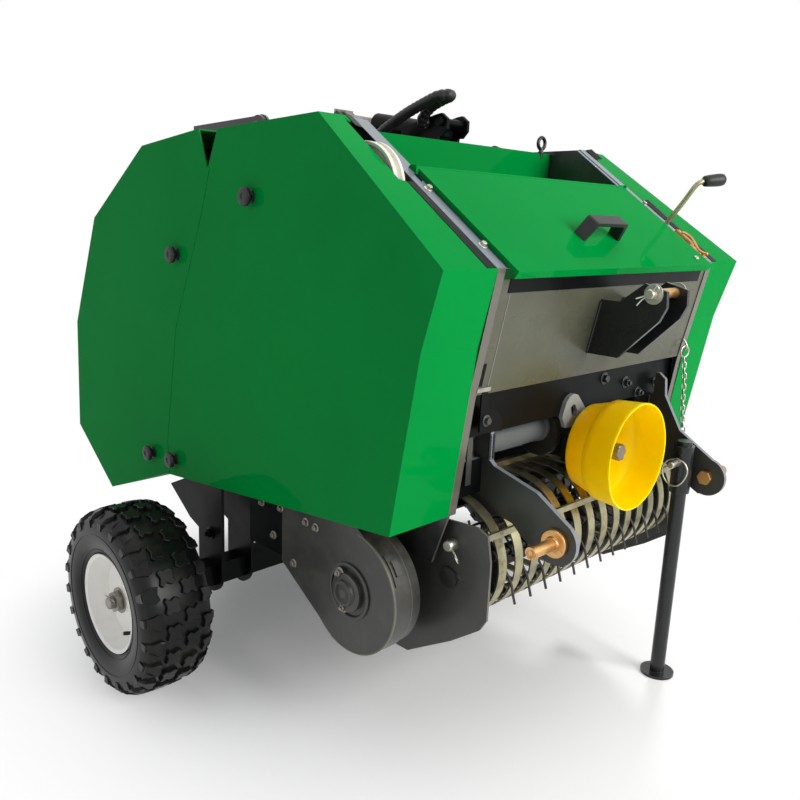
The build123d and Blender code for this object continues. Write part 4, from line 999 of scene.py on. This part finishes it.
bm = bmesh.new()
add_turned(bm, [(0, 0), (0, 7.5), (3, 8), (34, 8), (36, 6), (36, 0)],
           pointing((233, STAND_Y, STAND_PIN_Z), RIGHT), steps=24)
add_turned(bm, [(0, 0), (0, 7), (22, 7), (24, 5.5), (24, 0)],
           pointing((277, STAND_Y, STAND_PIN_Z), LEFT), steps=24)
add_turned(bm, [(0, 0), (0, 10.5), (4, 11), (18, 11), (22, 9), (22, 0)],
           pointing((-365, -506, 451), RIGHT), steps=28)
make_piece("clip_pins", bm, "frame", "zinc_bright", rounding=0.5)

# %% [markdown]
# A short link chain hangs from a ring and a hook at the left of the panel. A link is a wire loop
# shaped like a running track, and each is turned a quarter from the last.

# %% Make the chain
def add_link(bm, middle, along, turned, wire=1.7, half_width=4.4, half_length=8.0):
    """A link whose wire runs round two half circles with straights between them."""
    here = pointing(middle, along, turned)
    path = []
    for x, z in around(half_width, 20):
        straight = (half_length - half_width) * (1 if z >= 0 else -1)
        path.append(here @ Vector((x, 0, straight + z)))
    add_wire(bm, path, wire, steps=7, loop=True)


CHAIN_TOP = Vector((363.0, -553.0, 727.0))
CHAIN_FOOT = Vector((363.0, -572.0, 552.0))
LINK_COUNT = 15
SWAY, SWAY_TURNS = 3.0, 2.3
RING_RADIUS, RING_LEAN, RING_Z = 13.0, 3.0, 747.0
HOOK = [(363, -546, 775), (364, -552, 768), (365, -556, 758), (366, -552, 752), (366, -547, 756)]
bm = bmesh.new()
for index in range(LINK_COUNT):
    share = index / (LINK_COUNT - 1)
    sway = SWAY * sin(share * pi * SWAY_TURNS)
    here = CHAIN_TOP.lerp(CHAIN_FOOT, share) + Vector((sway, 0, 0))
    add_link(bm, here, CHAIN_TOP - CHAIN_FOOT, 35 + 90 * (index % 2))
ring = [(CHAIN_TOP.x + x, CHAIN_TOP.y - x * RING_LEAN / RING_RADIUS, RING_Z + z)
        for x, z in around(RING_RADIUS, 28)]
add_wire(bm, ring, 1.9, loop=True)
add_wire(bm, smooth_path(HOOK), 2.2)
make_piece("wire_chain", bm, "frame", "zinc_bright", replaced=("link_chain",), sharp=60)

# %% [markdown]
# The hose to the gate's cylinder wears a spiral guard. Its turns are what the eye sees, so the
# radius of the carried circle swells and shrinks along the path.

# %% Make the hose
HOSE = [(-88, 30, 1174), (-88, 30, 1196), (-88, 14, 1213), (-88, -60, 1248), (-88, -140, 1275),
        (-84, -160, 1280), (-71, -170, 1282), (-58, -160, 1281), (-54, -142, 1278),
        (-54, -106, 1265), (-54, -84, 1248), (-51, -73, 1235), (-44, -72, 1232), (-37, -72, 1232)]
HOSE_RADIUS, GUARD_RISE, GUARD_PITCH = 10.8, 1.6, 13.0
hose_path = smooth_path(HOSE, per_run=16)
hose_radii = []
travelled = 0.0
for index, point in enumerate(hose_path):
    if index:
        travelled += (point - hose_path[index - 1]).length
    hose_radii.append(HOSE_RADIUS + GUARD_RISE * abs(cos(pi * travelled / GUARD_PITCH)))
bm = bmesh.new()
add_wire(bm, hose_path, hose_radii, steps=20)
make_piece("guarded_hose", bm, "frame", "black_plastic", replaced=("gate_hose",), sharp=70)
bm = bmesh.new()
add_turned(bm, [(0, 0), (0, 15), (8, 15), (9, 13.2), (20, 13.2), (20, 0)],
           pointing((-88, 30, 1174), UP), steps=6)
add_turned(bm, [(0, 0), (0, 14), (7, 14), (8, 13), (8, 0)], pointing((-38, -72, 1232), RIGHT),
           steps=6)
make_piece("hose_fittings", bm, "frame", "zinc_bright", rounding=0.5)


# %% [markdown]
# The pickup's reel carries spring tines. Each grows out of a small coil on its bar and leans
# back at its tip, so its path is a helix that runs on into a bent leg. The middle of the shaft
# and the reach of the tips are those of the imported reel.

# %% Make the tined reel
REEL_Y, REEL_Z = -498.0, 382.0
BAR_REACH, TIP_REACH, TIP_LEAN, FIRST_TURN = 58.0, 110.0, 57.8, 140.0
TINE_PITCH, TINE_COUNT = 49.0, 13
TINE_HALF = (TINE_COUNT - 1) / 2 * TINE_PITCH
COIL_RADIUS, COIL_RISE, COIL_START, COIL_STEP, TINE_WIRE = 9.0, 0.44, 120, 45, 2.6


def reel_point(x, turn, reach):
    """The point at a turn in degrees and a reach from the reel's shaft."""
    return Vector((x, REEL_Y + reach * cos(radians(turn)), REEL_Z + reach * sin(radians(turn))))


bm = bmesh.new()
for row in range(4):
    turn = FIRST_TURN + 90 * row
    bar_y, bar_z = reel_point(0, turn, BAR_REACH)[1:]
    add_turned(bm, [(-TINE_HALF - 8, 0), (-TINE_HALF - 8, 6), (TINE_HALF + 8, 6),
                    (TINE_HALF + 8, 0)],
               along_x((0, bar_y, bar_z)), steps=16)
    for index in range(TINE_COUNT):
        x = index * TINE_PITCH - TINE_HALF
        points = []
        for step in range(17):
            angle = radians(turn + COIL_START + COIL_STEP * step)
            points.append((x - 7 + step * COIL_RISE, bar_y + COIL_RADIUS * cos(angle),
                           bar_z + COIL_RADIUS * sin(angle)))
        leg = [reel_point(x, turn + 20, BAR_REACH + 13), reel_point(x, turn + 40, BAR_REACH + 29),
               reel_point(x, turn + 52, TIP_REACH - 14),
               reel_point(x, turn + TIP_LEAN + 3.5, TIP_REACH - 2.5)]
        add_wire(bm, smooth_path(points[::2] + leg, per_run=4), TINE_WIRE, steps=7)
for x in (-TINE_HALF + 12, 20.5, TINE_HALF - 20):
    add_turned(bm, [(0, 21), (0, 59), (1, 60), (7, 60), (8, 59), (8, 21)],
               along_x((x, REEL_Y, REEL_Z)), steps=48, closed=True)
add_turned(bm, [(-370, 0), (-370, 20), (370, 20), (370, 0)],
           along_x((0, REEL_Y, REEL_Z)), steps=36)
make_piece("tined_reel", bm, "pickup_reel", "spring_black", replaced=("pickup_reel",), sharp=50)

# %% [markdown]
# The lid's handle is a moulded arch with thin walls and a raised frame on each leg. The lever on
# the left is a bent rod with a fat grip. The lid closes against a small sprung catch. Each is
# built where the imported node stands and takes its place.

# %% Make the handle, the lever and the catch
SLOPE_FOOT_Y, SLOPE_FOOT_Z, SLOPE_TOP_Y, SLOPE_TOP_Z = -581.0, 953.0, -217.0, 1204.0
SLOPE_ANGLE = atan2(SLOPE_TOP_Z - SLOPE_FOOT_Z, SLOPE_TOP_Y - SLOPE_FOOT_Y)
slope_frame = (Matrix.Translation((0, SLOPE_FOOT_Y, SLOPE_FOOT_Z))
               @ Matrix.Rotation(SLOPE_ANGLE, 4, "X"))
HANDLE_MIDDLE, HANDLE_HALF, HANDLE_DEPTH = -9.0, 66.0, 28.0
# The arch and the gap under it as (share of the half width, height)
side_view = [(1.0, 0), (0.99, 3), (0.87, 35), (0.84, 39), (0.79, 41)]
gap_view = [(0.66, 33), (0.70, 31.5), (0.735, 28), (0.86, 0)]
half_view = side_view + [(-share, height) for share, height in side_view[::-1]]
gap_loop = [(-share, height) for share, height in gap_view[::-1]] + gap_view
handle_frame = slope_frame @ Matrix(((1, 0, 0, HANDLE_MIDDLE), (0, 0, -1, 91), (0, 1, 0, 9),
                                     (0, 0, 0, 1)))
arch = [(HANDLE_HALF * share, height) for share, height in half_view + gap_loop]
bm = bmesh.new()
add_prism(bm, arch, 0.0, HANDLE_DEPTH, handle_frame)
# The raised frame's four bars, each from a low corner to a high one
WINDOW_BARS = (((6, -10), (30, -8.6)), ((6, 8.6), (30, 10)), ((6, -10), (7.4, 10)),
               ((28.6, -10), (30, 10)))
LEG_X, LEG_LEAN = 62.4, 14.2
for outer_x, tilt in ((-LEG_X, 1), (LEG_X, -1)):
    leg = (handle_frame @ Matrix.Translation((outer_x + tilt * 0.2, 0, HANDLE_DEPTH / 2))
           @ Matrix.Rotation(radians(-tilt * LEG_LEAN), 4, "Z"))
    window = leg @ Matrix(((0, 0, tilt, -tilt * 0.4), (1, 0, 0, 0), (0, 1, 0, 0), (0, 0, 0, 1)))
    for low, high in WINDOW_BARS:
        add_prism(bm, [low, (high[0], low[1]), high, (low[0], high[1])], -1.2, 0.9, window)
make_piece("moulded_handle", bm, "lid", "black_plastic", replaced=("lid_handle",), rounding=2.5,
           sharp=20)

bm = bmesh.new()
ROD = ((377, 142, -4), (377, 142, 10), (378, 141, 60), (377, 141, 96), (379, 141, 108),
       (385, 140, 116))
rod = [slope_frame @ Vector(point) for point in ROD]
grip_along = Vector((0.84, -0.5, 0.12)).normalized()
rod += [rod[-1] + 8 * grip_along + Vector((0, 0, 1.5)),
        rod[-1] + 22 * grip_along + Vector((0, 0, 1.5))]
add_wire(bm, smooth_path(rod), 5.6, steps=16)
make_piece("lever_rod", bm, "frame", "galvanised", replaced=("control_lever",),
           sharp=60)
bm = bmesh.new()
add_turned(bm, [(0, 0), (0, 9.5), (3, 12), (12, 13), (30, 14), (42, 14), (49, 12.5), (53, 8.5),
                (54.5, 4), (55, 0)],
           pointing(rod[-2], grip_along), steps=36)
make_piece("lever_grip", bm, "frame", "black_plastic", sharp=60)

bm = bmesh.new()
add_prism(bm, [(366, 14), (383, 14), (383, 118), (366, 118)], 0.2, 2.4, slope_frame)
add_prism(bm, [(368, 60), (381, 56), (383, 84), (380, 112), (369, 112)], 2.2, 8.0, slope_frame,
          taper=2.0)
SPRING = ((374, 100, 5), (374, 92, 12), (373, 72, 15), (372, 52, 10), (371, 36, 6), (370, 22, 9),
          (368, 14, 13))
add_wire(bm, smooth_path([slope_frame @ Vector(point) for point in SPRING]), 3.0, steps=10)
add_turned(bm, [(0, 0), (0, 5), (6, 5), (8, 4), (8, 0)],
           slope_frame @ Matrix.Translation((375, 104, 2)), steps=20)
add_turned(bm, [(0, 0), (0, 4), (5, 4), (6.5, 3), (6.5, 0)],
           slope_frame @ Matrix.Translation((374, 24, 2)), steps=20)
make_piece("sprung_catch", bm, "frame", "zinc_gold", replaced=("lid_catch",), rounding=0.4)
bm = bmesh.new()
add_turned(bm, [(8, 0), (8, 6), (12, 6), (14, 4.5), (14, 0)],
           slope_frame @ Matrix.Translation((300, 4, 0)), steps=24)
make_piece("lid_stud", bm, "lid", "zinc_bright")

# %% [markdown]
# The rope wheel is white nylon with a groove for the twine rope and a hub. The lifting eye is a
# forged ring on a collar and nut. Both are turned.

# %% Make the rope wheel and the lifting eye
bm = bmesh.new()
wheel_frame = along_x((-395, -291, 1074), -90)
groove = [(0, 76), (0, 81), (2, 82), (7, 82), (13, 70), (19, 82), (24, 82), (26, 81), (26, 76),
          (22, 72), (20, 24), (24, 22), (26, 20), (26, 8), (0, 8), (0, 20), (4, 24), (6, 72)]
add_turned(bm, groove, wheel_frame, steps=72, closed=True)
for k in range(5):
    add_prism(bm, [(26, -4), (70, -3), (70, 3), (26, 4)], 3.0, 22.0,
              wheel_frame @ Matrix.Rotation(2 * pi * k / 5, 4, "Z"))
make_piece("nylon_rope_wheel", bm, "frame", "white_nylon", replaced=("rope_wheel",), sharp=40)
bm = bmesh.new()
add_turned(bm, [(-9, 0), (-9, 12), (0, 12), (26, 8), (26, 0)], wheel_frame, steps=28)
make_piece("rope_wheel_stub", bm, "frame", "black_paint", rounding=0.4)

EYE_X, EYE_Y, EYE_FOOT, EYE_MIDDLE, EYE_RADIUS = 345.0, -116.8, 1195.0, 1219.0, 14.2
bm = bmesh.new()
ring = [(EYE_X + x, EYE_Y, EYE_MIDDLE + z) for x, z in around(EYE_RADIUS, 40)]
add_wire(bm, ring, 4.6, steps=14, loop=True)
add_turned(bm, [(-12, 0), (-12, 4.5), (0, 4.5), (0, 9.5), (3, 9.5), (4, 6), (12, 5), (12, 0)],
           pointing((EYE_X, EYE_Y, EYE_FOOT), UP), steps=28)
make_piece("forged_eye", bm, "frame", "black_paint", replaced=("lifting_eye",), rounding=0.3)

# %% [markdown]
# A folded cover lies along each edge of the lid's opening, and a thin black strip fills the gap
# between it and the outer shell as painted shade, since the gap is dark. Both follow the slope, so
# they are drawn in the slope's own frame: across, up the slope, and out of it.

# %% Make the flange covers, the painted gap shade and the panel's painted shadow strip
COVER_FOOT, COVER_TOP = 3, 437
# A cover's two strips as (inner x, outer x, low, high), the last two out of the slope
COVER_STRIPS = ((365.0, 387.5, -0.3, 0.7), (351.5, 366.5, -2.6, -0.9))
# Painted shade in the gap: its runs up the slope, and its edges as (x, rise over the slope for
# each mm along it)
GAP_SHADE_RUNS = ((3, 232), (400, 440))
GAP_SHADE_EDGES = ((390.0, 0.002), (412.0, 0.0121))
for side, word in SIDES:
    bm = bmesh.new()
    for near, far, low, high in COVER_STRIPS:
        corners = [(side * near, COVER_FOOT), (side * far, COVER_FOOT), (side * far, COVER_TOP),
                   (side * near, COVER_TOP)]
        add_prism(bm, corners, low, high, slope_frame)
    make_piece(f"flange_cover_{word}", bm, "frame", "slope_grey", rounding=0.2)
    # A thin black strip in the gap beside the cover: painted shade
    bm = bmesh.new()
    for start, end in GAP_SHADE_RUNS:
        rings = []
        for across, rise in GAP_SHADE_EDGES:
            for depth in (0.9, -0.6):
                points = [(side * across, along, 0.2 + rise * along + depth)
                          for along in (start, end)]
                rings.append([bm.verts.new(slope_frame @ Vector(point) * MM) for point in points])
        near_top, near_low, far_top, far_low = rings
        for first, second in ((near_top, far_top), (far_top, far_low), (far_low, near_low),
                              (near_low, near_top)):
            bm.faces.new((first[0], first[1], second[1], second[0]))
        for place in (0, 1):
            bm.faces.new((near_top[place], far_top[place], far_low[place], near_low[place]))
    make_piece(f"gap_shade_{word}", bm, "frame", "shade_darkened_black", sharp=20)


PANEL_TOP_Y, PANEL_TOP_Z, PANEL_LEAN = -573.9, 928.2, 0.2061


def panel_face(z):
    """The y of the leaning panel's outer face at a height."""
    return PANEL_TOP_Y - PANEL_LEAN * (z - PANEL_TOP_Z)


def add_panel_patch(bm, low_x, high_x, low_z, high_z, rise):
    """A flat patch that stands a little way out of the leaning panel."""
    outline = [(panel_face(low_z) - rise, low_z), (panel_face(high_z) - rise, high_z),
               (panel_face(high_z) + 1.0, high_z), (panel_face(low_z) + 1.0, low_z)]
    add_prism(bm, outline, low_x, high_x, ACROSS)


# A dark strip along the panel's top, just under the lid's lip: painted shadow of the lip
bm = bmesh.new()
add_panel_patch(bm, -345, 345, 912, 936, 1.5)
make_piece("painted_lip_shadow", bm, "frame", "shade_darkened_black", rounding=0.3)
bm = bmesh.new()
add_panel_patch(bm, -338.5, -337, 736, 911, 0.7)
make_piece("panel_seam", bm, "frame", "edge_grey")
# Two small black patches where there are slots: painted shade for the dark openings
bm = bmesh.new()
add_panel_patch(bm, -365, -356, 749, 790, 1.2)
add_prism(bm, [(-370, 238), (-363, 242), (-363, 262), (-370, 262)], 0.6, 1.1, slope_frame)
make_piece("painted_slot_shade", bm, "frame", "shade_darkened_black")
bm = bmesh.new()
add_panel_patch(bm, -368, -332, 738, 746, 4.0)
make_piece("nose_clip", bm, "frame", "zinc_bright", rounding=0.5)

# %% [markdown]
# Small pieces finish the nose: a bracket with its bolt behind the right flange, weld beads on
# the hitch, the beam and the axle, and two strips beside the hitch plates. A weld bead is a wire
# whose radius ripples.

# %% Make the nose bracket, the weld beads and the guard strips
BRACKET_Y, AXLE_BEAM_TOP = -531.0, 470.5
bm = bmesh.new()
bracket = [(-350, 664), (-350, 742), (-334, 742), (-330, 706), (-304, 697), (-290, 684),
           (-288, 658)]
add_prism(bm, bracket, 0.0, 4.0, Matrix.Translation((0, BRACKET_Y, 0)) @ FORWARDS)
make_piece("nose_bracket", bm, "frame", "shade_darkened_black", rounding=0.8)
make_bolts("nose_bolts", "frame", "case_black", [((-334, BRACKET_Y - 4, 684), FORWARD, 12, False)])


def add_weld(bm, start, end, radius=3.0):
    """A bead of weld metal from one point to another, in mm."""
    start, end = Vector(start), Vector(end)
    steps = max(4, int((end - start).length / 2.2))
    path = [start.lerp(end, k / steps) for k in range(steps + 1)]
    add_wire(bm, path, [radius * (0.85 + 0.15 * cos(k * 2.4)) for k in range(steps + 1)], steps=8)


bm = bmesh.new()
for side in (-1, 1):
    for edge in (36, 44):
        add_weld(bm, (side * edge, -546, 784), (side * edge, -567, 884))
    for edge in (285, 295):
        add_weld(bm, (side * edge, BEAM_FACE_Y, 600), (side * edge, BEAM_FACE_Y, 648), 3.4)
    add_weld(bm, (side * 381, BEAM_FACE_Y, 656), (side * 381, BEAM_FACE_Y, 728))
    for y in (84, 180):
        add_weld(bm, (side * 392, y, AXLE_BEAM_TOP), (side * 478, y, AXLE_BEAM_TOP), 3.6)
make_piece("weld_beads", bm, "frame", "black_paint", sharp=80)

bm = bmesh.new()
for low_x, high_x in ((-352, -338), (338, 352)):
    add_prism(bm, [(low_x, -512), (high_x, -512), (high_x, -509), (low_x, -509)], 560.0, 650.0,
              Matrix())
make_piece("guard_strips", bm, "frame", "case_black", rounding=0.6)
